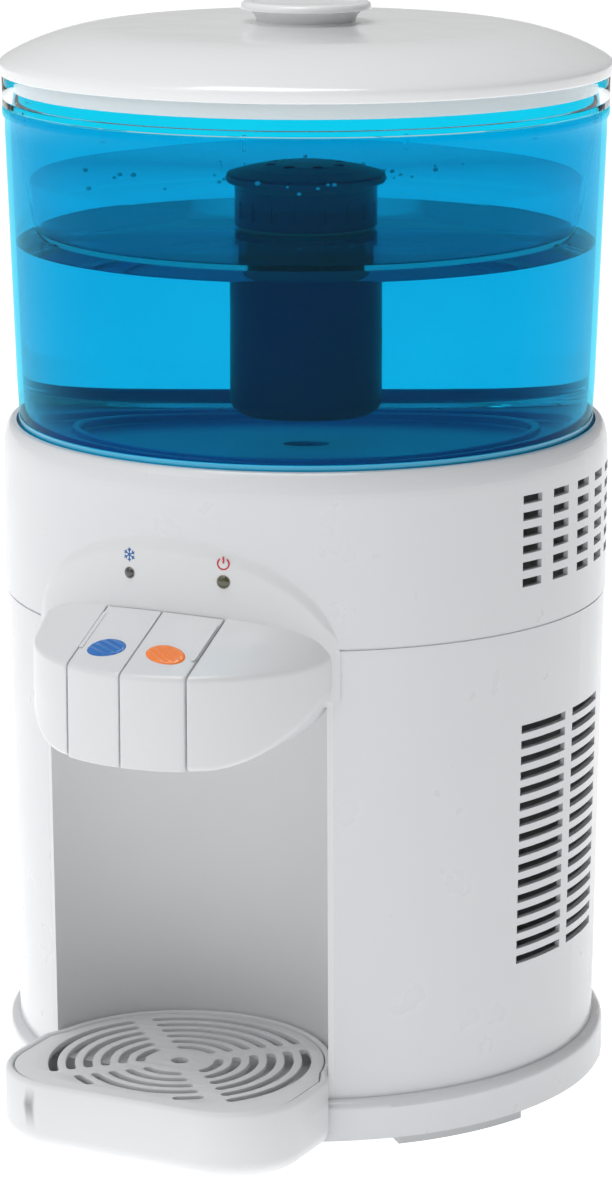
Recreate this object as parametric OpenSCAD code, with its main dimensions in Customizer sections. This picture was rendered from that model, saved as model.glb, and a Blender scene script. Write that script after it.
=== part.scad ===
// Countertop water dispenser: a round casing with a dispensing niche, a lift-off
// blue water tank, a clear upper vessel that carries the filter, and a domed lid.
// Millimetres, +Z up. The front, with the levers and the drip tray, faces -Y.
// Each module draws round the casing's own upright axis, and place() then moves
// that axis back so that the origin is the centre of the whole object's footprint.

/* [Casing] */
// Outer radius of the upper casing
body_r = 141.5; // [140.5:0.5:142.5]
// Outer radius of the lower casing at its foot
foot_r = 138; // [137:0.5:139]
// Outer radius of the plinth's flange
plinth_r = 143; // [142.5:0.5:144]
// Wall thickness of the moulded shells
wall = 2.6; // [2.2:0.2:2.8]
// Height of the seam between the plinth and the lower casing
plinth_top = 22; // [21:0.5:23]
// Height of the seam between the lower and the upper casing
belt_z = 232; // [231:0.5:233]
// Height of the rim round the tank's seat
crest_z = 311; // [310:0.5:312]

/* [Front] */
// Radius of the dispensing niche's curved wall
niche_r = 71; // [70.5:0.5:72]
// Distance from the casing's axis to the niche's centre
niche_y = 130; // [129:0.5:131]
// Radius of the canopy over the niche, seen from above
canopy_r = 74; // [73:0.5:75]
// Distance from the casing's axis to the canopy's centre
canopy_y = 110; // [109:0.5:111]
// Width of each lever
lever_w = 28.8; // [28:0.2:29]
// Distance from the casing's axis to the drip tray's front
tray_front = 188; // [186:1:190]

/* [Top] */
// Outer radius of the water tank at its rim
tank_r = 139; // [138.5:0.5:139.5]
// Height of the water tank's rim
tank_rim_z = 457; // [455:1:459]
// Height of the lid's lower edge
lid_z = 472; // [471:0.5:473]
// Outer radius of the lid
lid_r = 141.2; // [140.8:0.2:142]

/* [Hidden] */

$fn = 120;
hull_fn = 96;
eps = 0.02;          // overshoot of a cut past a face
slip = 0.3;          // gap between neighbours that move apart
fit = 0.05;          // radial clearance of a running fit

// Footprint: the plinth reaches plinth_r back, the tray reaches tray_front forward
axis_y = (tray_front - plinth_r) / 2;

// Plinth and feet
foot_h = 3.5;
foot_angle = 57;
foot_span = 27;
foot_w = 14;
plinth_edge = 4;
plinth_front_y = -125;
screw_circle_r = 104;
screw_r = 1.9;
floor_t = 2.5;

// Casings
seam_gap = 0.6;
belt_r = body_r - 0.5;
shoulder_drop = 14;
crest_r = body_r - 4.2;
seat_r = crest_r - 1.8;
deck_z = 303;
deck_t = 3;
ledge_r = 126;

// Niche and canopy
liner_t = 2.4;
niche_top = 206;
canopy_rim_z = 227;
canopy_back_y = 118;
canopy_back_z = 259;
canopy_end_z = 231;
keel_z = 185;
keel_half_w = 34;
shell_t = 2.4;
arch_half_w = 76;
arch_base_z = 209;
arch_top_z = 281;
arch_proud = 1.3;

// Levers, taps and spouts
lever_gap = 0.6;
slot_half_w = lever_w + 1.1;
hinge_y = -147;
hinge_z = 237.5;
pin_r = 1.5;
knuckle_r = 3.6;
tap_y = -157;
tap_x = (lever_w + lever_gap) / 2;
tap_r = 7;
tap_base_z = 196;
tap_top_z = 219;
spout_z = 180;
spout_r = 5;
stem_r = 2;
plunger_travel = 1.9;
plunger_top_z = 229;
feed_z = 213;
bay_floor_r = 57;
badge_slope = atan2(canopy_back_z - canopy_rim_z, canopy_y + canopy_r - canopy_back_y - 1);
badge_y = -166;
badge_half_w = 9.6;
badge_aspect = 0.64;

// Lamps
lamp_z = 262.3;
cold_lamp_angle = -6.9;
power_lamp_angle = 11.6;

// Drip tray
tray_half_w = 73.5;
tray_round = 9;
tray_mid_r = 73;
tray_mid_y = 142;
tray_back_r = 70;
tray_back_y = plinth_front_y - 0.8;
tray_corner_r = 36;
tray_top = 34;
tray_bottom = 1.5;
tray_wall = 2.2;
grille_inset = 4.2;
grille_t = 2.6;
grille_drop = 0.8;
arc_pitch = 8;
arc_w = 4.2;
arc_first_r = 18;
arc_last_r = 74;
arc_border = 8;
rib_half_w = 4;

// Tank and upper vessel
tank_z = deck_z + slip;
tank_foot_r = 134;
tank_fillet = 10;
tank_t = 2.6;
vessel_floor_z = 397;
vessel_floor_r = 126;
vessel_t = 2.4;
vessel_rim_r = 139.8;
vessel_in_r = 133;
outlet_r = 9;
outlet_drop = 16;
valve_lift = 2;
boss_r = 17;
boss_depth = 22;

// Filter
filter_r = 26.5;
filter_bottom_z = 318;
filter_neck_r = 27;
filter_head_r = 33;
filter_head_z = 421;
cap_r = 37.5;
cap_edge_z = 421;
cap_top_z = 430;

// Lid
lid_edge_h = 6;
plateau_r = 88;
plateau_z = 493;
lid_t = 2.4;
lip_r = vessel_rim_r - vessel_t - 0.8;
knob_r = 30;
knob_neck_r = 23;
knob_top_z = 504;

// Cooling set
cold_tank_y = 5;
cold_tank_r = 42;
cold_z0 = 130;
cold_z1 = 222;
jacket_t = 12;
cold_port_y = -15;
module_z = 176;
block_y0 = cold_tank_y + cold_tank_r;
block_y1 = block_y0 + 14;
module_t = 4;
sink_y0 = block_y1 + module_t;
sink_base = 6;
fin_h = 26;
fan_y0 = sink_y0 + sink_base + fin_h;
fan_t = 20;
fan_r = 41;

// Rear panel
panel_half_w = 52;
panel_z0 = 34;
panel_z1 = 224;
panel_y = 129.6;
panel_t = 2.6;
panel_rim = 2.5;
screw_x = 43;
screw_inset = 9;
inlet_z = 62;
switch_z = 104;
inlet_x = -18;
switch_x = 20;

// Hoses
hose_r = 3;
bend_r = 10;
ambient_hose_z = 288;
stub_end_y = -122;
riser_y = -52.8;

// Vents
louvre_rows = 16;
louvre_pitch = 7.3;
louvre_h = 3.9;
louvre_z0 = 75.5;
louvre_angles = [77.3, 94.1];
louvre_w = 34;
vent_rows = 6;
vent_cols = 6;
vent_pitch = 7.6;
vent_h = 3.9;
vent_z0 = 253.5;
vent_first_angle = 72.2;
vent_step = 8.7;
vent_w = 12.8;

// ---------- shared shapes ----------

module place() {
    translate([0, axis_y, 0]) children();
}

module tube(r_out, r_in, z0, z1) {
    translate([0, 0, z0]) difference() {
        cylinder(r = r_out, h = z1 - z0);
        translate([0, 0, -1]) cylinder(r = r_in, h = z1 - z0 + 2);
    }
}

module disc(r, z0, z1) {
    translate([0, 0, z0]) cylinder(r = r, h = z1 - z0);
}

module box(x0, x1, y0, y1, z0, z1) {
    translate([x0, y0, z0]) cube([x1 - x0, y1 - y0, z1 - z0]);
}

// A cylinder along Y
module y_rod(r, y0, y1) {
    translate([0, y0, 0]) rotate([-90, 0, 0]) cylinder(r = r, h = y1 - y0);
}

// A cylinder along X
module x_rod(r, x0, x1) {
    translate([x0, 0, 0]) rotate([0, 90, 0]) cylinder(r = r, h = x1 - x0);
}

// The casing's outer surface as a solid, from the plinth to the rim
function casing_r(z) = foot_r + (belt_r - foot_r) * (z - plinth_top) / (belt_z - plinth_top);

module lower_outline(inset, z0, z1) {
    rotate_extrude() polygon([[0, z0], [casing_r(z0) - inset, z0], [casing_r(z1) - inset, z1], [0, z1]]);
}

// Rows of slots cut through the casing on both sides
module slot_field(angles, rows, pitch, z0, w, h) {
    for (side = [-1, 1], a = angles, i = [0 : rows - 1])
        rotate([0, 0, side * a]) translate([-w / 2, -body_r - 6, z0 + i * pitch - h / 2]) cube([w, 18, h]);
}

// ---------- plinth ----------

// Places its children at the four feet, turned to face outwards
module at_feet() {
    for (a = [foot_angle, 180 - foot_angle, 180 + foot_angle, -foot_angle]) rotate([0, 0, a]) children();
}

// Places its children at the four casing screws
module at_plinth_screws() {
    for (a = [45 : 90 : 315]) rotate([0, 0, a]) translate([0, -screw_circle_r, 0]) children();
}

// Part of a ring, centred on the front
module ring_sector(r_in, r_out, span, z0, z1) {
    rotate([0, 0, -90 - span / 2]) rotate_extrude(angle = span)
        translate([r_in, z0]) square([r_out - r_in, z1 - z0]);
}

module plinth_shell() {
    difference() {
        rotate_extrude() union() {
            square([plinth_r, plinth_top - plinth_edge]);
            square([plinth_r - plinth_edge, plinth_top]);
            translate([plinth_r - plinth_edge, plinth_top - plinth_edge]) circle(r = plinth_edge, $fn = 48);
        }
        disc(plinth_r + 1, -1, foot_h);
        disc(plinth_r - wall, foot_h - 1, plinth_top - floor_t);
    }
}

module plinth() color("whitesmoke")
difference() {
    union() {
        plinth_shell();
        intersection() {
            disc(plinth_r - 1, foot_h, plinth_top);
            box(-tray_half_w - 4, tray_half_w + 4, plinth_front_y, plinth_front_y + wall,
                foot_h, plinth_top);
        }
        at_feet() ring_sector(plinth_r - foot_w, plinth_r - 2, foot_span, foot_h, plinth_top - 1);
        at_plinth_screws() disc(6, foot_h, plinth_top);
    }
    box(-tray_half_w - 1.5, tray_half_w + 1.5, -plinth_r - 1, plinth_front_y, 0, plinth_top + 5);
    at_plinth_screws() disc(screw_r + 0.1, foot_h - 1, plinth_top + 1);
    at_plinth_screws() disc(4.5, foot_h - 1, foot_h + 3);
}

module rubber_feet() color("gainsboro")
at_feet() ring_sector(plinth_r - foot_w, plinth_r - 0.5, foot_span, 0, foot_h);

module plinth_screws() color("silver")
at_plinth_screws() {
    disc(4, foot_h + 0.5, foot_h + 3);
    disc(screw_r, foot_h + 3 - eps, plinth_top + 10);
}

// ---------- casings ----------

module lower_shell() {
    difference() {
        lower_outline(0, plinth_top, belt_z - seam_gap);
        translate([0, 0, -1]) lower_outline(wall, plinth_top, belt_z + 5);
        disc(foot_r - wall, plinth_top - 1, plinth_top + 2);
    }
}

module lower_casing() color("whitesmoke")
difference() {
    union() {
        lower_shell();
        at_plinth_screws() disc(5, plinth_top, plinth_top + 14);
        at_plinth_screws() box(-1.2, 1.2, screw_circle_r - foot_r + wall / 2, -4,
            plinth_top, plinth_top + 14);
    }
    translate([0, -niche_y, 0]) disc(niche_r + liner_t, plinth_top - 1, niche_top + liner_t);
    slot_field(louvre_angles, louvre_rows, louvre_pitch, louvre_z0, louvre_w, louvre_h);
    box(-panel_half_w, panel_half_w, 100, 150, panel_z0, panel_z1);
    feed_holes();
    at_plinth_screws() disc(screw_r, plinth_top - 1, plinth_top + 11);
}

// Holes for the taps' feed stubs
module feed_holes() {
    for (s = [-1, 1]) translate([s * tap_x, 0, feed_z]) y_rod(4.2, -150, -125);
}

module niche_liner() color("white")
intersection() {
    lower_outline(0, plinth_top, belt_z);
    translate([0, -niche_y, 0]) difference() {
        disc(niche_r + liner_t, plinth_top, niche_top + liner_t);
        disc(niche_r, plinth_top - 1, niche_top);
    }
}

// Outer edge of the upper casing's shoulder, from its start to the rim
function shoulder() = [for (a = [0 : 10 : 90])
    [crest_r + (body_r - crest_r) * cos(a), crest_z - shoulder_drop * (1 - sin(a))]];

module upper_casing() color("whitesmoke")
difference() {
    union() {
        rotate_extrude() polygon(concat([[body_r - wall, belt_z + seam_gap], [body_r, belt_z + seam_gap]],
            shoulder(), [[seat_r, crest_z], [seat_r, deck_z - deck_t], [ledge_r, deck_z - deck_t],
            [ledge_r, deck_z - deck_t - wall], [body_r - wall, deck_z - deck_t - wall - 5]]));
        tube(casing_r(belt_z) - wall - 0.2, casing_r(belt_z) - wall - 2.2,
            belt_z - 6, belt_z + seam_gap + wall);
        tube(body_r - wall + eps, casing_r(belt_z) - wall - 2.2,
            belt_z + seam_gap, belt_z + seam_gap + wall);
    }
    slot_field([for (i = [0 : vent_cols - 1]) vent_first_angle + i * vent_step],
        vent_rows, vent_pitch, vent_z0, vent_w, vent_h);
    lamp_holes();
}

module at_lamp(angle) {
    rotate([0, 0, angle]) translate([0, 0, lamp_z]) children();
}

module lamp_holes() {
    at_lamp(cold_lamp_angle) y_rod(2.4, -150, -130);
    at_lamp(power_lamp_angle) y_rod(2.9, -150, -130);
}

// Deck that the tank stands on, with the well that its outlet drops into
module tank_deck() color("white")
difference() {
    union() {
        disc(seat_r - 0.1, deck_z - deck_t, deck_z);
        disc(boss_r, deck_z - boss_depth - 2, deck_z - deck_t + eps);
        box(tap_x - 5, tap_x + 5, -24, 0, ambient_hose_z - 5, deck_z - deck_t + eps);
    }
    difference() {
        disc(outlet_r + 4, deck_z - boss_depth, deck_z + 1);
        disc(1.8, deck_z - boss_depth - 1, tank_z - outlet_drop - 4 + valve_lift - 0.1);
        box(-7, 7, -1, 1, deck_z - boss_depth - 1, deck_z - boss_depth + 2);
    }
    difference() {
        disc(5, deck_z - boss_depth - 3, deck_z - boss_depth + eps);
        box(-7, 7, -1, 1, deck_z - boss_depth - 4, deck_z);
    }
    translate([tap_x, 0, ambient_hose_z]) y_rod(hose_r - 0.8, -25, -2);
}

module deck_seal() color("silver")
tube(outlet_r + 4, outlet_r + slip, deck_z - 12, deck_z - 7);

// ---------- console and levers ----------

// The canopy's underside swells in a quarter ellipse from the keel, at 0 degrees, to the rim, at 90
function bowl_z(a) = canopy_rim_z - 3 - (canopy_rim_z - 3 - keel_z) * cos(a);
function bowl_half_w(a) = keel_half_w + (canopy_r - keel_half_w) * sin(a);

// The canopy as one solid, drawn in by inset on every side
module canopy(inset) {
    back_y = -canopy_back_y - inset;
    hull() {
        intersection() {
            translate([0, -canopy_y, 0]) hull_disc(canopy_r - inset, canopy_rim_z - 3, canopy_rim_z - inset);
            box(-200, 200, -300, back_y, 0, 400);
        }
        for (a = [0 : 22.5 : 67.5]) intersection() {
            translate([0, -canopy_y, bowl_z(a) + inset]) hull_disc(canopy_r - inset - 1 + a / 90, 0, 1);
            box(-bowl_half_w(a) + inset, bowl_half_w(a) - inset, -300, back_y, 0, 400);
        }
        translate([0, back_y, 0]) rotate([90, 0, 0]) linear_extrude(1) canopy_arch(inset);
    }
}

module hull_disc(r, z0, z1) {
    translate([0, 0, z0]) cylinder(r = r, h = z1 - z0, $fn = hull_fn);
}

// Half-ellipse of the canopy's top, where it runs back into the casing
module canopy_arch(inset) {
    polygon([for (a = [0 : 6 : 180])
        [(canopy_r - inset - 1) * cos(a), canopy_end_z - inset + (canopy_back_z - canopy_end_z) * sin(a)]]);
}

module canopy_shell() {
    difference() {
        canopy(0);
        canopy(shell_t);
    }
}

// The space that the two levers take out of the canopy
module lever_bay() {
    box(-slot_half_w, slot_half_w, -300, -100, keel_z + 5, 400);
    intersection() {
        box(-slot_half_w, slot_half_w, -300, -canopy_y - 20, 0, 400);
        translate([0, -canopy_y, 0]) tube(canopy_r + 20, bay_floor_r, keel_z - 5, keel_z + 6);
    }
}

module arch_slab(half_w, top_z) {
    translate([0, -100, 0]) rotate([90, 0, 0]) linear_extrude(60) polygon(concat(
        [[-half_w, arch_base_z], [half_w, arch_base_z]],
        [for (a = [0 : 5 : 180]) [half_w * cos(a), canopy_rim_z + (top_z - canopy_rim_z) * sin(a)]]));
}

module arch_panel() {
    difference() {
        union() {
            intersection() {
                disc(body_r + arch_proud - 0.5, arch_base_z, arch_top_z + 5);
                arch_slab(arch_half_w, arch_top_z);
            }
            intersection() {
                disc(body_r + arch_proud, arch_base_z, arch_top_z + 5);
                arch_slab(arch_half_w - 0.8, arch_top_z - 0.8);
            }
        }
        disc(body_r, arch_base_z - 1, arch_top_z + 9);
    }
}

module console() color("white")
difference() {
    union() {
        difference() {
            union() {
                difference() {
                    canopy_shell();
                    lever_bay();
                }
                intersection() {
                    canopy(shell_t / 2);
                    for (s = [-1, 1]) translate([s * (slot_half_w + 1.8), hinge_y, hinge_z])
                        box(-1.8, 1.8, -7, 12, -7, 30);
                }
            }
            disc(body_r, niche_top, 400);
        }
        arch_panel();
    }
    translate([0, hinge_y, hinge_z]) x_rod(pin_r + eps, -slot_half_w - 3.2, slot_half_w + 3.2);
    for (s = [-1, 1]) translate([s * tap_x, tap_y, 0]) disc(spout_r + 1, keel_z - 1, keel_z + 6);
    feed_holes();
    lamp_holes();
}

// One lever between x0 and x1: top plate, front face, side ribs, hinge knuckle and plunger pad
module lever(x0, x1) {
    mid = (x0 + x1) / 2;
    difference() {
        union() {
            intersection() {
                canopy_shell();
                box(x0, x1, -300, -100, keel_z, 400);
                union() {
                    box(x0, x1, -300, -100, canopy_rim_z, 400);
                    translate([0, -canopy_y, 0]) tube(canopy_r + 1, canopy_r - shell_t - 1.6, 0, 400);
                }
            }
            intersection() {
                canopy(shell_t / 2);
                union() {
                    for (x = [x0, x1 - 1.8]) box(x, x + 1.8, -175, -100, hinge_z - 4, 400);
                    box(mid - 4, mid + 4, tap_y - 1.5, tap_y + 1.5, plunger_top_z + slip, 400);
                }
            }
            translate([0, hinge_y, hinge_z]) x_rod(knuckle_r, x0, x1);
        }
        disc(body_r + arch_proud + 0.6, 0, 400);
        translate([0, hinge_y, hinge_z]) x_rod(pin_r + fit, x0 - 1, x1 + 1);
        badge_shape(mid, 1.2, -1);
    }
}

// An oval tile lying on the canopy's sloping top
module badge_shape(x, up, down) {
    translate([x, badge_y, badge_top(x)]) rotate([badge_slope, 0, 0]) translate([0, 0, down])
        scale([1, badge_aspect, 1]) cylinder(r = badge_half_w, h = up - down, $fn = 64);
}

function badge_top(x) = canopy_rim_z
    + (badge_y + canopy_y + sqrt(canopy_r * canopy_r - x * x)) * tan(badge_slope);

module cold_lever() color("white")
lever(-lever_gap / 2 - lever_w, -lever_gap / 2);

module ambient_lever() color("white")
lever(lever_gap / 2, lever_gap / 2 + lever_w);

module cold_badge() color("dodgerblue")
badge_shape(-tap_x, 1.1, -0.95);

module ambient_badge() color("darkorange")
badge_shape(tap_x, 1.1, -0.95);

module lever_pin() color("silver")
translate([0, hinge_y, hinge_z]) x_rod(pin_r, -slot_half_w - 3.2, slot_half_w + 3.2);

// Tap: an upright valve chamber with its spout below and its feed stub behind
module tap() {
    difference() {
        union() {
            disc(tap_r, tap_base_z, tap_top_z);
            disc(spout_r, spout_z, tap_base_z + eps);
            translate([0, 0, feed_z]) y_rod(3.6, 0, stub_end_y - tap_y);
        }
        disc(spout_r - 1.4, spout_z - 1, tap_base_z + 3);
        disc(tap_r - 1.8, tap_base_z + 3, tap_top_z - 3);
        disc(stem_r + fit, tap_top_z - 4, tap_top_z + 1);
        translate([0, 0, feed_z]) y_rod(2.2, 0, stub_end_y - tap_y + 1);
    }
}

module cold_tap() color("white")
translate([-tap_x, tap_y, 0]) tap();

module ambient_tap() color("white")
translate([tap_x, tap_y, 0]) tap();

module plunger() {
    disc(stem_r, tap_base_z + 7, plunger_top_z - 2 + eps);
    disc(4, tap_base_z + 3 + slip + plunger_travel, tap_base_z + 7.5);
    disc(4.6, plunger_top_z - 2, plunger_top_z);
}

module cold_plunger() color("gray")
translate([-tap_x, tap_y, 0]) plunger();

module ambient_plunger() color("gray")
translate([tap_x, tap_y, 0]) plunger();

module return_spring() {
    tube(4.2, 3.2, tap_top_z, plunger_top_z - 2);
}

module cold_spring() color("silver")
translate([-tap_x, tap_y, 0]) return_spring();

module ambient_spring() color("silver")
translate([tap_x, tap_y, 0]) return_spring();

module lamp(r) {
    y_rod(r, -body_r - arch_proud - 0.9, -body_r + 8);
    y_rod(r + 1, -body_r + 5, -body_r + 8);
}

module cold_lamp() color("darkslategray")
at_lamp(cold_lamp_angle) lamp(2.4 - eps);

module power_lamp() color("olivedrab")
at_lamp(power_lamp_angle) lamp(2.9 - eps);

module lamp_board() color("darkgreen")
rotate([0, 0, (cold_lamp_angle + power_lamp_angle) / 2])
    box(-34, 34, -body_r + 10.5, -body_r + 12.1, lamp_z - 9, lamp_z + 9);

// ---------- drip tray ----------

// The tray's deep front part, drawn in by inset
module tray_front_outline(inset) {
    r = tray_corner_r - inset;
    x = tray_half_w - tray_corner_r;
    y = -tray_front + tray_corner_r;
    before_plinth() for (s = [-1, 1]) translate([s * x, y]) circle(r = r);
    translate([-x, -tray_front + inset]) square([2 * x, tray_back_y + tray_front - inset]);
    translate([-tray_half_w + inset, y]) square([2 * (tray_half_w - inset), tray_back_y - y]);
}

// Keeps what lies in front of the plinth's flat
module before_plinth() {
    intersection() {
        children();
        translate([-100, -300]) square([200, 300 + tray_back_y]);
    }
}

// The whole tray, with the round part that reaches back into the niche
module tray_outline(inset) {
    intersection() {
        union() {
            translate([0, -niche_y]) circle(r = tray_back_r - inset);
            translate([0, -tray_mid_y]) circle(r = tray_mid_r - inset);
        }
        translate([-100, -tray_mid_y]) square([200, 100]);
    }
    tray_front_outline(inset);
}

// Rounded underside of the tray's deep front part
module tray_foot() {
    hull() for (a = [0 : 15 : 90])
        translate([0, 0, tray_bottom + tray_round * (1 - sin(a))]) linear_extrude(0.2)
            tray_foot_outline(tray_round * (1 - cos(a)));
}

module tray_foot_outline(inset) {
    before_plinth() for (s = [-1, 1])
        translate([s * (tray_half_w - tray_corner_r), -tray_front + tray_corner_r])
            circle(r = tray_corner_r - inset, $fn = 64);
    translate([-tray_half_w + inset, tray_back_y - 2]) square([2 * (tray_half_w - inset), 2]);
}

module drip_tray() color("white")
difference() {
    union() {
        tray_foot();
        translate([0, 0, tray_bottom + tray_round]) linear_extrude(tray_top - tray_bottom - tray_round)
            tray_front_outline(0);
        translate([0, 0, plinth_top + slip]) linear_extrude(tray_top - plinth_top - slip) tray_outline(0);
    }
    translate([0, 0, plinth_top + slip + tray_wall]) linear_extrude(tray_top) tray_outline(tray_wall + 3);
    translate([0, 0, tray_bottom + tray_wall + 4]) linear_extrude(tray_top) intersection() {
        tray_front_outline(tray_wall + 3);
        translate([-100, -300]) square([200, 300 + tray_back_y - tray_wall]);
    }
    translate([0, 0, tray_top - grille_t - grille_drop]) linear_extrude(10) tray_outline(grille_inset - 0.5);
}

// One curved slot of the grille
module arc_slot(r, a0, a1) {
    difference() {
        circle(r = r + arc_w / 2);
        circle(r = r - arc_w / 2);
        arc_mask(a0, a1);
    }
}

// Everything outside the angles a0 to a1, for a span under half a turn
module arc_mask(a0, a1) {
    rotate(a0) translate([-200, -400]) square([400, 400]);
    rotate(a1) translate([-200, 0]) square([400, 400]);
}

// Angle that a rib of half width w takes at radius r
function rib_angle(r) = asin((rib_half_w + arc_w / 2) / r);

// How far the front slots may swing before they meet the tray's straight front
reach = tray_front - niche_y - grille_inset - arc_border;
function front_swing(r) = r < reach ? 0 : acos(reach / r);

module grille_slots() {
    translate([0, -niche_y]) {
        for (r = [arc_first_r : arc_pitch : tray_back_r - arc_border - 4], q = [0 : 2])
            arc_slot(r, q * 90 - 45 + rib_angle(r), q * 90 + 45 - rib_angle(r));
        for (r = [arc_first_r : arc_pitch : reach])
            arc_slot(r, 225 + rib_angle(r), 315 - rib_angle(r));
        for (r = [arc_first_r + 4 * arc_pitch : arc_pitch : arc_last_r], s = [-1, 1])
            if (r > reach && front_swing(r) + 6 < 45 - rib_angle(r))
                arc_slot(r, s < 0 ? 225 + rib_angle(r) : 270 + front_swing(r) + 3,
                    s < 0 ? 270 - front_swing(r) - 3 : 315 - rib_angle(r));
        circle(r = 4, $fn = 24);
    }
}

module drip_grille() color("white")
translate([0, 0, tray_top - grille_t - grille_drop]) linear_extrude(grille_t) difference() {
    tray_outline(grille_inset);
    grille_slots();
}

// ---------- tank and upper vessel ----------

// Tank wall radius at height z, on the outside
function tank_wall_r(z) = tank_foot_r + (tank_r - tank_foot_r) * (z - tank_z) / (tank_rim_z - tank_z);

module tank_profile(inset) {
    r = tank_fillet - inset;
    z0 = tank_z + inset;
    polygon(concat([[0, z0]], [for (a = [-90 : 15 : 0])
        [tank_wall_r(tank_z) - tank_fillet + r * cos(a), tank_z + tank_fillet + r * sin(a)]],
        [[tank_r - inset, tank_rim_z + inset], [0, tank_rim_z + inset]]));
}

module water_tank() color([0, 0.6, 0.85, 0.5])
difference() {
    union() {
        difference() {
            rotate_extrude() tank_profile(0);
            rotate_extrude() tank_profile(tank_t);
        }
        tube(vessel_rim_r, tank_r - 1.5, tank_rim_z - 4, tank_rim_z);
        for (r = [80, 94]) tube(r + 1.5, r - 1.5, tank_z + 1, tank_z + tank_t + 3);
        disc(outlet_r, tank_z - outlet_drop, tank_z + tank_t);
    }
    disc(outlet_r - 2, tank_z - outlet_drop + 5, tank_z + tank_t + 1);
    disc(4, tank_z - outlet_drop - 1, tank_z - outlet_drop + 6);
}

// Height of the valve seat at the foot of the tank's outlet
seat_z = tank_z - outlet_drop + 5;

// Poppet that the deck's pin lifts off its seat while the tank is in place
module tank_valve() color("white")
union() {
    disc(5.8, seat_z + valve_lift + 1.6, seat_z + valve_lift + 4);
    disc(2, seat_z + valve_lift - 9, seat_z + valve_lift + 9);
}

module tank_valve_seal() color("dimgray")
tube(5.8, 2 + eps, seat_z + valve_lift, seat_z + valve_lift + 1.6);

function vessel_wall_r(z) = vessel_floor_r
    + (vessel_in_r + vessel_t - vessel_floor_r) * (z - vessel_floor_z) / (tank_rim_z - vessel_floor_z);

module upper_vessel() color([0.75, 0.9, 0.95, 0.35])
union() {
    rotate_extrude() polygon([[filter_neck_r + 0.2, vessel_floor_z], [vessel_floor_r - 4, vessel_floor_z],
        [vessel_floor_r, vessel_floor_z + 4], [vessel_wall_r(tank_rim_z), tank_rim_z + slip],
        [vessel_rim_r, tank_rim_z + slip], [vessel_rim_r, lid_z - slip],
        [vessel_rim_r - vessel_t, lid_z - slip],
        [vessel_rim_r - vessel_t, tank_rim_z + slip + vessel_t], [vessel_in_r, tank_rim_z + slip + vessel_t],
        [vessel_floor_r - vessel_t, vessel_floor_z + 5], [vessel_floor_r - 6, vessel_floor_z + vessel_t],
        [filter_neck_r + 0.2, vessel_floor_z + vessel_t]]);
    for (a = [15 : 30 : 345]) rotate([0, 0, a])
        box(-0.8, 0.8, -tank_r + tank_t + 0.7, -vessel_in_r - 1, tank_rim_z - 6, tank_rim_z + slip + 1);
}

module filter_body() color("midnightblue")
difference() {
    union() {
        rotate_extrude() polygon(concat([[0, filter_bottom_z]],
            [for (a = [-90 : 15 : 0])
                [filter_r - 8 + 8 * cos(a), filter_bottom_z + 8 + 8 * sin(a)]],
            [[filter_r, vessel_floor_z - 11], [filter_neck_r, vessel_floor_z - 9],
            [0, vessel_floor_z - 9]]));
        disc(filter_neck_r, vessel_floor_z - 10, vessel_floor_z + 6);
        disc(filter_head_r, vessel_floor_z + vessel_t + 1.6, filter_head_z - 3);
    }
    for (a = [0 : 20 : 340]) rotate([0, 0, a]) box(-1.5, 1.5, -filter_head_r - 1, -filter_head_r + 1.2,
        vessel_floor_z + 8, filter_head_z - 8);
}

module filter_cap() color("navy")
difference() {
    union() {
        disc(filter_head_r - 2, filter_head_z - 3, cap_edge_z + 0.5);
        rotate_extrude() polygon([[0, cap_edge_z], [cap_r - 1, cap_edge_z], [cap_r, cap_edge_z + 1.5],
            [cap_r - 1, cap_edge_z + 4], [cap_r - 10, cap_top_z - 2.5], [cap_r - 20, cap_top_z - 0.6],
            [0, cap_top_z]]);
    }
    for (q = [0 : 7]) rotate([0, 0, q * 45]) translate([17, 0, 0]) disc(2.6, cap_top_z - 5, cap_top_z + 1);
}

module filter_nut() color("midnightblue")
difference() {
    disc(filter_head_r, vessel_floor_z - 8, vessel_floor_z - 0.1);
    disc(filter_neck_r + fit, vessel_floor_z - 9, vessel_floor_z + 1);
    for (a = [0 : 45 : 315]) rotate([0, 0, a]) translate([filter_head_r + 1, 0, 0])
        disc(2.4, vessel_floor_z - 9, vessel_floor_z + 1);
}

module filter_seal() color("dimgray")
tube(filter_head_r - 2, filter_neck_r + fit, vessel_floor_z + vessel_t, vessel_floor_z + vessel_t + 1.6);

// ---------- lid ----------

// Lid surface between the edge band and the plateau, drawn in by inset
function lid_curve(inset) = [for (t = [0 : 0.125 : 1])
    [lid_r - inset - (lid_r - plateau_r) * t,
     lid_z + lid_edge_h - inset + (plateau_z - lid_z - lid_edge_h) * sin(90 * pow(t, 0.85))]];

module lid() color("white")
difference() {
    union() {
        tube(lip_r, lip_r - 2, lid_z - 7, lid_z + lid_edge_h + 1);
        rotate_extrude() polygon(concat([[lid_r - lid_t, lid_z], [lid_r - 0.6, lid_z], [lid_r, lid_z + 1]],
            lid_curve(0), [[0, plateau_z + 1.5], [0, plateau_z + 1.5 - lid_t]],
            [for (p = [8 : -1 : 0]) lid_curve(lid_t)[p]]));
    }
    disc(2.2, plateau_z - 5, plateau_z + 5);
}

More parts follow.
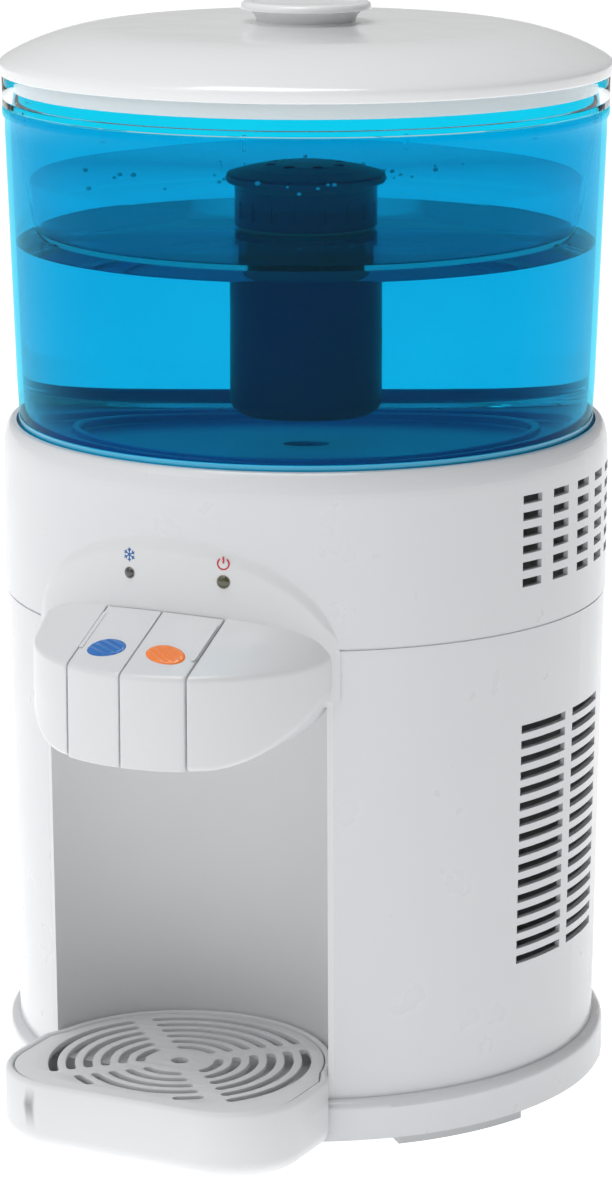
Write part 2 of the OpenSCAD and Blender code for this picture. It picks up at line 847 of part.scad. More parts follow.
module lid_knob() color("white")
difference() {
    union() {
        rotate_extrude() polygon(concat([[0, plateau_z + 1.5], [knob_neck_r + 4, plateau_z + 1.5]],
            [for (a = [90 : -15 : 0]) [knob_neck_r + (knob_r - knob_neck_r) * (1 - sin(a)),
                plateau_z + 2.5 + 5 * cos(a)]],
            [[knob_r, knob_top_z - 1.5], [knob_r - 1.5, knob_top_z], [0, knob_top_z]]));
        disc(2, plateau_z - 6, plateau_z + 2);
        disc(6, plateau_z - 4, plateau_z + 1.5 - lid_t - 0.1);
    }
    disc(knob_r - 6, knob_top_z - 1, knob_top_z + 1);
}

// ---------- cooling set ----------

module at_cold_tank() {
    translate([0, cold_tank_y, 0]) children();
}

// Water passages of the cold tank, from the jacket's underside to its top
module cold_ports(z0, z1, z2, z3) {
    translate([-tap_x, cold_port_y, 0]) disc(hose_r + 0.2, z0, z1);
    disc(hose_r + 0.2, z2, z3);
}

module cold_tank() color("silver")
difference() {
    at_cold_tank() disc(cold_tank_r, cold_z0, cold_z1);
    at_cold_tank() disc(cold_tank_r - 0.8, cold_z0 + 0.8, cold_z1 - 0.8);
    cold_ports(cold_z0 - 1, cold_z0 + 5, cold_z1 - 5, cold_z1 + 1);
}

module cold_tank_jacket() color("lightyellow")
difference() {
    at_cold_tank() disc(cold_tank_r + jacket_t, cold_z0 - jacket_t, cold_z1 + jacket_t);
    at_cold_tank() disc(cold_tank_r, cold_z0, cold_z1);
    box(-23, 23, cold_tank_y + 30, 90, module_z - 23, module_z + 23);
    cold_ports(cold_z0 - jacket_t - 1, cold_z0 + 1, cold_z1 - 1, cold_z1 + jacket_t + 1);
}

module cold_block() color("lightgray")
difference() {
    box(-20, 20, cold_tank_y + 36, block_y1, module_z - 20, module_z + 20);
    at_cold_tank() disc(cold_tank_r, cold_z0, cold_z1);
}

module cooling_module() color("white")
box(-20, 20, block_y1, sink_y0, module_z - 20, module_z + 20);

module heat_sink() color("silver")
union() {
    box(-42, 42, sink_y0, sink_y0 + sink_base, module_z - 40, module_z + 40);
    for (i = [0 : 12]) translate([-42 + i * 6.85, 0, 0])
        box(0, 1.8, sink_y0 + sink_base, sink_y0 + sink_base + fin_h, module_z - 40, module_z + 40);
}

module at_fan() {
    translate([0, 0, module_z]) children();
}

module fan_frame() color("dimgray")
at_fan() difference() {
    union() {
        difference() {
            box(-fan_r - 3, fan_r + 3, fan_y0, fan_y0 + fan_t, -fan_r - 3, fan_r + 3);
            y_rod(fan_r, fan_y0 - 1, fan_y0 + fan_t + 1);
        }
        for (a = [0 : 90 : 270]) rotate([0, a + 45, 0]) box(-2, 2, fan_y0, fan_y0 + 2, 12, fan_r + 1);
        y_rod(14, fan_y0, fan_y0 + 2);
        y_rod(3, fan_y0, fan_y0 + 8);
    }
    for (x = [-36, 36], z = [-36, 36]) translate([x, 0, z]) y_rod(2.1, fan_y0 - 1, fan_y0 + fan_t + 1);
}

module fan_rotor() color("black")
at_fan() difference() {
    union() {
        y_rod(15, fan_y0 + 3, fan_y0 + fan_t - 2);
        for (q = [0 : 6]) rotate([0, q * 360 / 7, 0])
            translate([0, fan_y0 + fan_t / 2 + 1, 14]) rotate([0, 0, 38])
                box(-8.5, 8.5, -0.8, 0.8, 0, fan_r - 16.5);
    }
    y_rod(3 + fit, fan_y0 + 2, fan_y0 + 9);
}

// Shelf and legs that carry the cold tank above the power board
module cooling_stand() color("lightgray")
difference() {
    union() {
        box(-54, 54, -20, 34, cold_z0 - jacket_t - 2, cold_z0 - jacket_t);
        for (x = [-50, 50], y = [-16, 26]) translate([x, y, 0]) disc(4, plinth_top, cold_z0 - jacket_t - 1);
    }
    box(-tap_x - 6, -tap_x + 6, -30, cold_port_y + 6, 100, cold_z0);
}

module rear_outline(inset) {
    intersection() {
        lower_outline(inset, panel_z0, panel_z1);
        box(-panel_half_w, panel_half_w, 100, 200, panel_z0, panel_z1);
    }
}

module rear_panel() color("whitesmoke")
difference() {
    rear_outline(0);
    box(-200, 200, 90, panel_y - panel_t, 0, 300);
    box(-panel_half_w + panel_rim, panel_half_w - panel_rim, panel_y, 200,
        panel_z0 + panel_rim, panel_z1 - panel_rim);
    translate([0, 0, module_z]) grille_bars();
    translate([inlet_x, 0, inlet_z]) box(-14, 14, 100, 200, -10, 10);
    translate([switch_x, 0, switch_z]) box(-10, 10, 100, 200, -6.5, 6.5);
    for (x = [-screw_x, screw_x], z = [panel_z0 + screw_inset, panel_z1 - screw_inset])
        translate([x, 0, z]) y_rod(1.8, 100, 200);
}

// Upright slots in front of the fan, as long as a round field lets them be
module grille_bars() {
    for (i = [-5 : 5]) {
        half = sqrt(pow(fan_r - 3, 2) - pow(i * 6.8, 2));
        box(i * 6.8 - 1.7, i * 6.8 + 1.7, 100, 200, -half, half);
    }
}

module power_inlet() color("black")
translate([inlet_x, 0, inlet_z]) difference() {
    union() {
        box(-16, 16, panel_y, panel_y + 1.8, -12, 12);
        box(-13.8, 13.8, panel_y - 20, panel_y + eps, -9.8, 9.8);
    }
    box(-11, 11, panel_y - 14, panel_y + 3, -7, 7);
}

module switch_body() color("black")
translate([switch_x, 0, switch_z]) difference() {
    union() {
        box(-12, 12, panel_y, panel_y + 1.4, -8.5, 8.5);
        box(-9.9, 9.9, panel_y - 15, panel_y + eps, -6.4, 6.4);
    }
    box(-9.3, 9.3, panel_y - 12, panel_y + 3, -5.9, 5.9);
}

module rocker_switch() color("firebrick")
translate([switch_x + 9, panel_y, switch_z]) rotate([0, -90, 0]) linear_extrude(18)
    polygon([[-4.8, -5], [-4.8, 2.6], [0, 1.2], [4.8, 2.6], [4.8, -5]]);

module power_board() color("darkgreen")
union() {
    box(-45, 45, 30, 100, 28, 29.6);
    for (x = [-38, 38], y = [36, 94]) translate([x, y, 0]) disc(3, plinth_top, 28 + eps);
    box(-30, 8, 40, 72, 29.6 - eps, 58);
    translate([26, 48, 0]) disc(9, 29.6 - eps, 52);
    translate([26, 72, 0]) disc(7, 29.6 - eps, 48);
    box(-30, 2, 84, 92, 29.6 - eps, 44);
}

// ---------- hoses, screws ----------

// A quarter bend in the YZ plane, round (y, z), starting at the given angle from +Y
module bend(y, z, start) {
    translate([0, y, z]) rotate([90, 0, 90]) rotate([0, 0, start])
        rotate_extrude(angle = 90) translate([bend_r, 0]) circle(r = hose_r, $fn = 32);
}

module run_y(y0, y1, z) {
    translate([0, 0, z]) y_rod(hose_r, y0, y1);
}

module run_z(y, z0, z1) {
    translate([0, y, 0]) disc(hose_r, z0, z1);
}

// From the deck's well forward, down the front wall and into the ambient tap
module ambient_hose() color("aliceblue")
translate([tap_x, 0, 0]) {
    fall_y = stub_end_y + bend_r;
    run_y(fall_y + bend_r, -24, ambient_hose_z);
    bend(fall_y + bend_r, ambient_hose_z - bend_r, 90);
    run_z(fall_y, feed_z + bend_r, ambient_hose_z - bend_r);
    bend(stub_end_y, feed_z + bend_r, 270);
}

module cold_feed_hose() color("aliceblue")
disc(hose_r, cold_z1, deck_z - boss_depth - 2);

// Out of the cold tank's floor, up behind the niche and forward to the cold tap
module cold_outlet_hose() color("aliceblue")
translate([-tap_x, 0, 0]) {
    low_z = cold_z0 - jacket_t - 1 - bend_r;
    run_z(cold_port_y, low_z + bend_r, cold_z0);
    bend(cold_port_y - bend_r, low_z + bend_r, 270);
    run_y(riser_y + bend_r, cold_port_y - bend_r, low_z);
    bend(riser_y + bend_r, low_z + bend_r, 180);
    run_z(riser_y, low_z + bend_r, feed_z - bend_r);
    bend(riser_y - bend_r, feed_z - bend_r, 0);
    run_y(stub_end_y, riser_y - bend_r, feed_z);
}

module panel_screws() color("silver")
for (x = [-screw_x, screw_x], z = [panel_z0 + screw_inset, panel_z1 - screw_inset]) translate([x, 0, z]) {
    y_rod(3.4, panel_y, panel_y + 2);
    y_rod(1.7, panel_y - 8, panel_y + eps);
}

place() plinth();
place() rubber_feet();
place() lower_casing();
place() niche_liner();
place() upper_casing();
place() tank_deck();
place() deck_seal();
place() console();
place() cold_lever();
place() ambient_lever();
place() cold_badge();
place() ambient_badge();
place() lever_pin();
place() cold_tap();
place() ambient_tap();
place() cold_plunger();
place() ambient_plunger();
place() cold_spring();
place() ambient_spring();
place() drip_tray();
place() drip_grille();
place() cold_lamp();
place() power_lamp();
place() lamp_board();
place() water_tank();
place() tank_valve();
place() tank_valve_seal();
place() upper_vessel();
place() filter_cap();
place() filter_body();
place() filter_nut();
place() filter_seal();
place() lid();
place() lid_knob();
place() cold_tank();
place() cold_tank_jacket();
place() cold_block();
place() cooling_module();
place() heat_sink();
place() fan_frame();
place() fan_rotor();
place() cooling_stand();
place() rear_panel();
place() power_inlet();
place() switch_body();
place() rocker_switch();
place() power_board();
place() ambient_hose();
place() cold_feed_hose();
place() cold_outlet_hose();
place() panel_screws();
place() plinth_screws();
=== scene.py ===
"""Looks of the countertop water dispenser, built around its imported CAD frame. Lengths below are in millimetres."""
import math
import random

import bmesh
import bpy
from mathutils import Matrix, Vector


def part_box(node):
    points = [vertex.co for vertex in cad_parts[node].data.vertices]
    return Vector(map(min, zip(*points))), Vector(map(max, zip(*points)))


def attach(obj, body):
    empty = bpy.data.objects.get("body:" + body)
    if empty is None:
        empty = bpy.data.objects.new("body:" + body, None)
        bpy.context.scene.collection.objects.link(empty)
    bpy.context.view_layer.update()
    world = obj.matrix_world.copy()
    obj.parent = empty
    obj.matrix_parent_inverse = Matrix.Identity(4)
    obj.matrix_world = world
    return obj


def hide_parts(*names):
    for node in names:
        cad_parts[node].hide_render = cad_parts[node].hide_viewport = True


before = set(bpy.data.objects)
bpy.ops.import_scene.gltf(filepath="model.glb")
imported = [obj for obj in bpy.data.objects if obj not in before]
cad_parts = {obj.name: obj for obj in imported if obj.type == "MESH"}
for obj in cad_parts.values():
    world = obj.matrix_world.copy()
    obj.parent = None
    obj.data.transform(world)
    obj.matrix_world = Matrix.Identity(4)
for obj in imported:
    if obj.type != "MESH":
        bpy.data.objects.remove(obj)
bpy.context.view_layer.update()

MM = 0.001

# The casing's axis, from the tank's box
tank_lo, tank_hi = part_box("water_tank")
AXIS_Y = (tank_lo.y + tank_hi.y) / 2

# Casing
BODY_R = 141.5
ARCH_PROUD = 1.3
ARCH_HALF_W = 76.0
ARCH_BASE_Z = 209.0
ARCH_TOP_Z = 281.0

# Console: a half-moon canopy of radius CANOPY_R about (0, CANOPY_Y)
CANOPY_R = 74.0
CANOPY_Y = -110.0
RIM_Z = 227.0
KEEL_Z = 185.0
KEEL_HALF_W = 34.0
CANOPY_BACK_Y = -118.0
CANOPY_END_Z = 231.0
CANOPY_BACK_Z = 259.0
BAY_HALF_W = 29.9
LEVER_GAP = 0.6
LEVER_W = 28.8
SHELL_T = 2.4
HINGE_Y = -147.0
HINGE_Z = 237.5
TAP_X = (LEVER_W + LEVER_GAP) / 2
TAP_Y = -157.0
BADGE_Y = -168.0

# Lamps
LAMP_Z = 262.3
COLD_LAMP_ANGLE = -6.9
POWER_LAMP_ANGLE = 11.6


# ---------- mesh helpers ----------

def filleted(points, radius, steps=5):
    """A closed outline with every corner rounded by a curve of steps + 1 points."""
    out = []
    count = len(points)
    for i, corner in enumerate(points):
        before, after = Vector(points[i - 1]), Vector(points[(i + 1) % count])
        corner = Vector(corner)
        reach = min(radius[i] if isinstance(radius, (list, tuple)) else radius,
                    0.48 * (before - corner).length, 0.48 * (after - corner).length)
        start = corner + (before - corner).normalized() * reach
        end = corner + (after - corner).normalized() * reach
        for k in range(steps + 1):
            t = k / steps
            out.append(tuple(start * (1 - t) ** 2 + corner * 2 * t * (1 - t) + end * t * t))
    return out


def mesh_piece(name, verts, faces, material, body, slot, sharp=38):
    """A smooth-shaded piece from points in millimetres about the casing's axis, riding on a body."""
    mesh = bpy.data.meshes.new(name)
    mesh.from_pydata([(x * MM, y * MM + AXIS_Y, z * MM) for x, y, z in verts], [], faces)
    work = bmesh.new()
    work.from_mesh(mesh)
    bmesh.ops.remove_doubles(work, verts=work.verts, dist=1e-6)
    bmesh.ops.dissolve_degenerate(work, edges=work.edges, dist=1e-7)
    bmesh.ops.recalc_face_normals(work, faces=work.faces)
    work.to_mesh(mesh)
    work.free()
    mesh.polygons.foreach_set("use_smooth", [True] * len(mesh.polygons))
    mesh.set_sharp_from_angle(angle=math.radians(sharp))
    mesh.materials.append(material)
    piece = bpy.data.objects.new(name, mesh)
    bpy.context.scene.collection.objects.link(piece)
    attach(piece, body)
    return piece


def loft(rings, closed_ends=True, wrap=False):
    """Points and faces that join rings of equal length, with caps at the ends unless they wrap."""
    n = len(rings[0])
    verts = [p for ring in rings for p in ring]
    faces = []
    for j in range(len(rings) if wrap else len(rings) - 1):
        a, b = j * n, (j + 1) % len(rings) * n
        faces += [(a + i, a + (i + 1) % n, b + (i + 1) % n, b + i) for i in range(n)]
    if closed_ends and not wrap:
        faces.append(tuple(range(n - 1, -1, -1)))
        faces.append(tuple(len(verts) - n + i for i in range(n)))
    return verts, faces


def joined(*parts):
    """One list of points and faces from several."""
    verts, faces = [], []
    for v, f in parts:
        faces += [tuple(i + len(verts) for i in face) for face in f]
        verts += v
    return verts, faces


def lathed(profile, segments=192):
    """A closed (r, z) outline turned about the casing's axis."""
    rings = []
    for s in range(segments):
        a = 2 * math.pi * s / segments
        rings.append([(r * math.cos(a), r * math.sin(a), z) for r, z in profile])
    return loft(rings, wrap=True)


def prism(outline, x0, x1, edge=0.3):
    """An outline in (y, z) drawn out along X, with its two ends eased by edge."""
    cy = sum(p[0] for p in outline) / len(outline)
    cz = sum(p[1] for p in outline) / len(outline)
    size = max(max(abs(p[0] - cy), abs(p[1] - cz)) for p in outline)
    rings = []
    for x, k in [(x0, 1 - edge / size), (x0 + edge, 1), (x1 - edge, 1), (x1, 1 - edge / size)]:
        rings.append([(x, cy + (p[0] - cy) * k, cz + (p[1] - cz) * k) for p in outline])
    return loft(rings)


def ellipsoid(centre, radii, rings=10, segments=16):
    """A closed ball or lens."""
    verts, faces = [], []
    for i in range(rings + 1):
        t = math.pi * i / rings
        for s in range(segments):
            a = 2 * math.pi * s / segments
            verts.append((centre[0] + radii[0] * math.sin(t) * math.cos(a),
                          centre[1] + radii[1] * math.sin(t) * math.sin(a),
                          centre[2] + radii[2] * math.cos(t)))
    for i in range(rings):
        a, b = i * segments, (i + 1) * segments
        faces += [(a + s, a + (s + 1) % segments, b + (s + 1) % segments, b + s) for s in range(segments)]
    return verts, faces


# ---------- materials ----------

def new_material(name):
    """An empty node material with its output, and the object's own coordinates."""
    material = bpy.data.materials.new(name)
    material.use_nodes = True
    nodes, links = material.node_tree.nodes, material.node_tree.links
    nodes.clear()
    output = nodes.new("ShaderNodeOutputMaterial")
    where = nodes.new("ShaderNodeTexCoord").outputs["Object"]
    return material, nodes, links, output, where


def noise(nodes, links, where, scale, detail=2.0, stretch=None):
    """A noise value, its coordinates stretched if asked."""
    texture = nodes.new("ShaderNodeTexNoise")
    texture.inputs["Scale"].default_value = scale
    texture.inputs["Detail"].default_value = detail
    if stretch:
        mapping = nodes.new("ShaderNodeMapping")
        mapping.inputs["Scale"].default_value = stretch
        links.new(where, mapping.inputs["Vector"])
        where = mapping.outputs["Vector"]
    links.new(where, texture.inputs["Vector"])
    return texture.outputs["Fac"]


def spread(nodes, links, value, low, high):
    """Maps the middle half of a noise onto low to high."""
    node = nodes.new("ShaderNodeMapRange")
    node.inputs["From Min"].default_value = 0.25
    node.inputs["From Max"].default_value = 0.75
    node.inputs["To Min"].default_value = low
    node.inputs["To Max"].default_value = high
    links.new(value, node.inputs["Value"])
    return node.outputs["Result"]


def bumped(nodes, links, heights):
    """A normal from several (value, strength, distance in mm) layers."""
    normal = None
    for value, strength, distance in heights:
        bump = nodes.new("ShaderNodeBump")
        bump.inputs["Strength"].default_value = strength
        bump.inputs["Distance"].default_value = distance * MM
        links.new(value, bump.inputs["Height"])
        if normal:
            links.new(normal, bump.inputs["Normal"])
        normal = bump.outputs["Normal"]
    return normal


def plastic(name, colour, roughness=0.28, mottle=0.02, ripple=0.25, grain=0.0, coat=0.0, metallic=0.0,
            stretch=None, ior=1.5, subsurface=0.0):
    """Moulded plastic or metal: faint colour drift, moulding ripple, fine grain and uneven gloss."""
    material, nodes, links, output, where = new_material(name)
    shader = nodes.new("ShaderNodeBsdfPrincipled")
    mix = nodes.new("ShaderNodeMix")
    mix.data_type = "RGBA"
    dark = [c * (1 - mottle * 2) for c in colour[:3]] + [1]
    light = [min(c * (1 + mottle), 1) for c in colour[:3]] + [1]
    mix.inputs["A"].default_value = dark
    mix.inputs["B"].default_value = light
    links.new(spread(nodes, links, noise(nodes, links, where, 14, 3, stretch), 0, 1), mix.inputs["Factor"])
    links.new(mix.outputs["Result"], shader.inputs["Base Color"])
    links.new(spread(nodes, links, noise(nodes, links, where, 45, 4, stretch), roughness * 0.85, roughness * 1.2),
              shader.inputs["Roughness"])
    layers = [(noise(nodes, links, where, 90, 1, stretch), ripple, 0.25)]
    if grain:
        layers.append((noise(nodes, links, where, 2600, 2), grain, 0.08))
    links.new(bumped(nodes, links, layers), shader.inputs["Normal"])
    shader.inputs["Metallic"].default_value = metallic
    shader.inputs["IOR"].default_value = ior
    shader.inputs["Coat Weight"].default_value = coat
    shader.inputs["Coat Roughness"].default_value = 0.06
    if subsurface:
        shader.inputs["Subsurface Weight"].default_value = subsurface
        shader.inputs["Subsurface Scale"].default_value = 2 * MM
        shader.inputs["Subsurface Radius"].default_value = (1.0, 0.9, 0.8)
    links.new(shader.outputs["BSDF"], output.inputs["Surface"])
    return material


def clear_wall(name, tint, gloss, roughness=0.03, body=0.0, body_colour=(1, 1, 1)):
    """A thin clear wall: it tints what is behind it, mirrors more at a slant, and holds a little colour itself."""
    material, nodes, links, output, where = new_material(name)
    through = nodes.new("ShaderNodeBsdfTransparent")
    drift = nodes.new("ShaderNodeMix")
    drift.data_type = "RGBA"
    drift.inputs["A"].default_value = [c ** 1.06 for c in tint] + [1]
    drift.inputs["B"].default_value = [c ** 0.96 for c in tint] + [1]
    links.new(spread(nodes, links, noise(nodes, links, where, 18, 2), 0, 1), drift.inputs["Factor"])
    links.new(drift.outputs["Result"], through.inputs["Color"])
    normal = bumped(nodes, links, [(noise(nodes, links, where, 60, 1, (1, 1, 0.4)), 0.25, 0.3)])
    mirror = nodes.new("ShaderNodeBsdfGlossy")
    mirror.inputs["Roughness"].default_value = roughness
    mirror.inputs["Color"].default_value = (*gloss, 1)
    links.new(normal, mirror.inputs["Normal"])
    base = through.outputs["BSDF"]
    if body:
        solid = nodes.new("ShaderNodeBsdfDiffuse")
        solid.inputs["Color"].default_value = (*body_colour, 1)
        hold = nodes.new("ShaderNodeMixShader")
        hold.inputs["Fac"].default_value = body
        links.new(base, hold.inputs[1])
        links.new(solid.outputs["BSDF"], hold.inputs[2])
        base = hold.outputs["Shader"]
    slant = nodes.new("ShaderNodeLayerWeight")
    slant.inputs["Blend"].default_value = 0.5
    links.new(normal, slant.inputs["Normal"])
    steep = nodes.new("ShaderNodeMath")
    steep.operation = "POWER"
    steep.inputs[1].default_value = 5.0
    links.new(slant.outputs["Facing"], steep.inputs[0])
    share = nodes.new("ShaderNodeMath")
    share.operation = "MULTIPLY_ADD"
    share.inputs[1].default_value = 0.55
    share.inputs[2].default_value = 0.008
    links.new(steep.outputs["Value"], share.inputs[0])
    mix = nodes.new("ShaderNodeMixShader")
    links.new(share.outputs["Value"], mix.inputs["Fac"])
    links.new(base, mix.inputs[1])
    links.new(mirror.outputs["BSDF"], mix.inputs[2])
    links.new(mix.outputs["Shader"], output.inputs["Surface"])
    return material


def clear_body(name, colour, ior, roughness=0.0, coat=0.0, swell=0.12):
    """A clear solid or still water, with a faint swell on its surface."""
    material, nodes, links, output, where = new_material(name)
    shader = nodes.new("ShaderNodeBsdfPrincipled")
    drift = nodes.new("ShaderNodeMix")
    drift.data_type = "RGBA"
    drift.inputs["A"].default_value = (*[c * 0.985 for c in colour], 1)
    drift.inputs["B"].default_value = (*colour, 1)
    links.new(noise(nodes, links, where, 12, 2), drift.inputs["Factor"])
    links.new(drift.outputs["Result"], shader.inputs["Base Color"])
    shader.inputs["Transmission Weight"].default_value = 1.0
    shader.inputs["IOR"].default_value = ior
    shader.inputs["Roughness"].default_value = roughness
    shader.inputs["Coat Weight"].default_value = coat
    shader.inputs["Specular Tint"].default_value = (0.05, 0.3, 0.45, 1)
    links.new(bumped(nodes, links, [(noise(nodes, links, where, 25, 2), swell, 0.4)]), shader.inputs["Normal"])
    links.new(shader.outputs["BSDF"], output.inputs["Surface"])
    return material


white = plastic("gloss_white", (0.69, 0.70, 0.72), roughness=0.30, mottle=0.004, ripple=0.004, grain=0.02, coat=0.5)
console_white = plastic("console_white", (0.70, 0.71, 0.725), roughness=0.34, mottle=0.004, ripple=0.004, grain=0.02,
                        coat=0.4)
lid_white = plastic("lid_white", (0.83, 0.84, 0.85), roughness=0.18, mottle=0.004, ripple=0.01, coat=0.5)
tray_white = plastic("tray_white", (0.76, 0.765, 0.775), roughness=0.42, mottle=0.008, grain=0.08, ripple=0.02)
inner_white = plastic("inner_white", (0.74, 0.74, 0.73), roughness=0.5, grain=0.15)
tank_blue = clear_wall("tank_blue", (0.08, 0.78, 0.91), (0.5, 0.9, 1.0), body=0.006, body_colour=(0.0, 0.45, 0.75))
tank_floor_blue = plastic("tank_floor_blue", (0.0, 0.30, 0.70), roughness=0.2, mottle=0.06, ripple=0.2)
# Brighter cyan for the band round the tank's foot: a painted highlight in place of the bright edge that light through
# the thick clear foot gives
foot_painted_highlight = plastic("tank_foot_painted_highlight", (0.0, 0.48, 0.80), roughness=0.12, mottle=0.05, coat=0.6)
bubble_white = plastic("bubble", (0.55, 0.85, 0.95), roughness=0.08, mottle=0.05, coat=1.0)
vessel_clear = clear_body("vessel_clear", (0.93, 0.975, 0.99), 1.03, roughness=0.0)
filter_navy = plastic("filter_navy", (0.002, 0.003, 0.09), roughness=0.35, mottle=0.15, grain=0.05, ior=1.18)
filter_cap_navy = plastic("filter_cap_navy", (0.004, 0.02, 0.09), roughness=0.3, mottle=0.15, ior=1.2)
badge_blue = plastic("badge_blue", (0.0, 0.145, 0.50), roughness=0.22, mottle=0.08, coat=0.5)
badge_orange = plastic("badge_orange", (0.95, 0.235, 0.035), roughness=0.22, mottle=0.06, coat=0.5)
rubber = plastic("foot_rubber", (0.55, 0.56, 0.57), roughness=0.7, grain=0.3)
seal = plastic("seal_rubber", (0.12, 0.125, 0.13), roughness=0.6, grain=0.2)
black = plastic("black_plastic", (0.018, 0.018, 0.02), roughness=0.45, grain=0.25)
steel = plastic("bright_steel", (0.60, 0.61, 0.62), roughness=0.25, metallic=1.0, stretch=(1, 1, 12))
aluminium = plastic("aluminium", (0.72, 0.73, 0.74), roughness=0.35, metallic=1.0, stretch=(1, 1, 8))
zinc = plastic("zinc", (0.52, 0.53, 0.54), roughness=0.4, metallic=1.0, mottle=0.1)
foam = plastic("foam", (0.78, 0.74, 0.58), roughness=0.9, mottle=0.08, grain=0.6)
ceramic = plastic("ceramic", (0.78, 0.78, 0.75), roughness=0.6)
grey = plastic("plunger_grey", (0.20, 0.21, 0.22), roughness=0.4, grain=0.1)
board = plastic("board_green", (0.02, 0.12, 0.05), roughness=0.4, mottle=0.15)
red = plastic("switch_red", (0.45, 0.02, 0.02), roughness=0.25, mottle=0.06, coat=0.4)
hose = plastic("hose", (0.62, 0.66, 0.68), roughness=0.35, mottle=0.05)
lamp_dark = plastic("lamp_clear", (0.05, 0.05, 0.055), roughness=0.08, coat=1.0, mottle=0.3)
lamp_olive = plastic("lamp_olive", (0.085, 0.085, 0.025), roughness=0.10, coat=1.0, mottle=0.3)
bezel = plastic("lamp_bezel", (0.28, 0.27, 0.22), roughness=0.3)
ink_blue = plastic("ink_blue", (0.0, 0.11, 0.36), roughness=0.5, mottle=0.05)
ink_red = plastic("ink_red", (0.62, 0.03, 0.05), roughness=0.5, mottle=0.05)
shallow_water = clear_wall("shallow_water", (0.88, 0.97, 0.99), (0.35, 0.75, 0.9), body=0.01,
                           body_colour=(0.0, 0.45, 0.75))
still_water = clear_body("still_water", (0.96, 0.99, 1.0), 1.33)

NODE_MATERIALS = {
    white: ["plinth", "lower_casing", "upper_casing", "rear_panel"],
    inner_white: ["tank_deck", "cold_tap", "ambient_tap", "tank_valve"],
    tray_white: ["niche_liner", "drip_tray", "drip_grille"],
    rubber: ["rubber_feet"],
    seal: ["deck_seal", "tank_valve_seal", "filter_seal"],
    filter_navy: ["filter_body", "filter_nut"],
    filter_cap_navy: ["filter_cap"],
    steel: ["lever_pin", "cold_spring", "ambient_spring", "cold_tank", "panel_screws", "plinth_screws"],
    aluminium: ["cold_block", "heat_sink"],
    zinc: ["cooling_stand"],
    foam: ["cold_tank_jacket"],
    ceramic: ["cooling_module"],
    black: ["fan_frame", "fan_rotor", "power_inlet", "switch_body"],
    grey: ["cold_plunger", "ambient_plunger"],
    red: ["rocker_switch"],
    board: ["lamp_board", "power_board"],
    hose: ["ambient_hose", "cold_feed_hose", "cold_outlet_hose"],
    console_white: ["console", "cold_lever", "ambient_lever"],
    lid_white: ["lid", "lid_knob"],
    badge_blue: ["cold_badge"],
    badge_orange: ["ambient_badge"],
    tank_blue: ["water_tank"],
    vessel_clear: ["upper_vessel"],
    lamp_dark: ["cold_lamp"],
    lamp_olive: ["power_lamp"],
}
for material, names in NODE_MATERIALS.items():
    for name in names:
        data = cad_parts[name].data
        data.materials.clear()
        data.materials.append(material)


belt = [(137.9, 231.0), (140.45, 231.0), (140.45, 233.0), (137.9, 233.0)]
mesh_piece("belt_seam", *lathed(filleted(belt, 0.3, 2), 256), white, "casing", "shell_white")


# ---------- console, levers and badges ----------

def canopy_front(x, inset=0.0):
    """Y of the canopy's upright front at x."""
    return CANOPY_Y - math.sqrt(max((CANOPY_R - inset) ** 2 - x * x, 0))


def canopy_top(x, y, inset=0.0):
    """Height of the canopy's sloping top at (x, y)."""
    front = canopy_front(x)
    back = CANOPY_END_Z + (CANOPY_BACK_Z - CANOPY_END_Z) * math.sqrt(max(1 - (x / (CANOPY_R - 1)) ** 2, 0))
    return RIM_Z - inset + (back - RIM_Z) * (y - front) / (CANOPY_BACK_Y - front)


def canopy_bottom(x):
    """Height of the canopy's underside at x, flat at the keel and swelling up to the rim."""
    t = min(max((abs(x) - KEEL_HALF_W) / (CANOPY_R - KEEL_HALF_W), 0), 1)
    top = RIM_Z - 3
    return top - (top - KEEL_Z) * math.sqrt(1 - t * t)


def canopy_slice(x, inset=0.0):
    """The canopy's outline at x: sloping top, rounded rim, upright front, rounded lower edge, underside."""
    front = min(canopy_front(x, inset), CANOPY_BACK_Y - 1)
    outline = [(CANOPY_BACK_Y, canopy_top(x, CANOPY_BACK_Y, inset)), (front, canopy_top(x, front, inset)),
               (front, canopy_bottom(x) + inset), (CANOPY_BACK_Y, canopy_bottom(x) + inset)]
    return [(x, y, z) for y, z in filleted(outline, [0.2, 2.2, 3.0, 0.2], 6)]


def console_side(sign, steps=40):
    """The fixed part of the canopy on one side of the levers, as a closed block."""
    rings = []
    start, end = math.asin(BAY_HALF_W / CANOPY_R), math.asin(0.9985)
    for inset, dx in [(0.6, 0.0), (0.18, 0.18), (0.0, 0.6)]:
        rings.append(canopy_slice(sign * (BAY_HALF_W + dx), inset))
    for i in range(1, steps + 1):
        x = CANOPY_R * math.sin(start + (end - start) * i / steps)
        if x > BAY_HALF_W + 1:
            rings.append(canopy_slice(sign * x))
    return loft(rings)


def arch_point(s, z, height):
    """A point on the casing, s across and height proud."""
    r = BODY_R + height
    a = s / BODY_R
    return (r * math.sin(a), -r * math.cos(a), z)


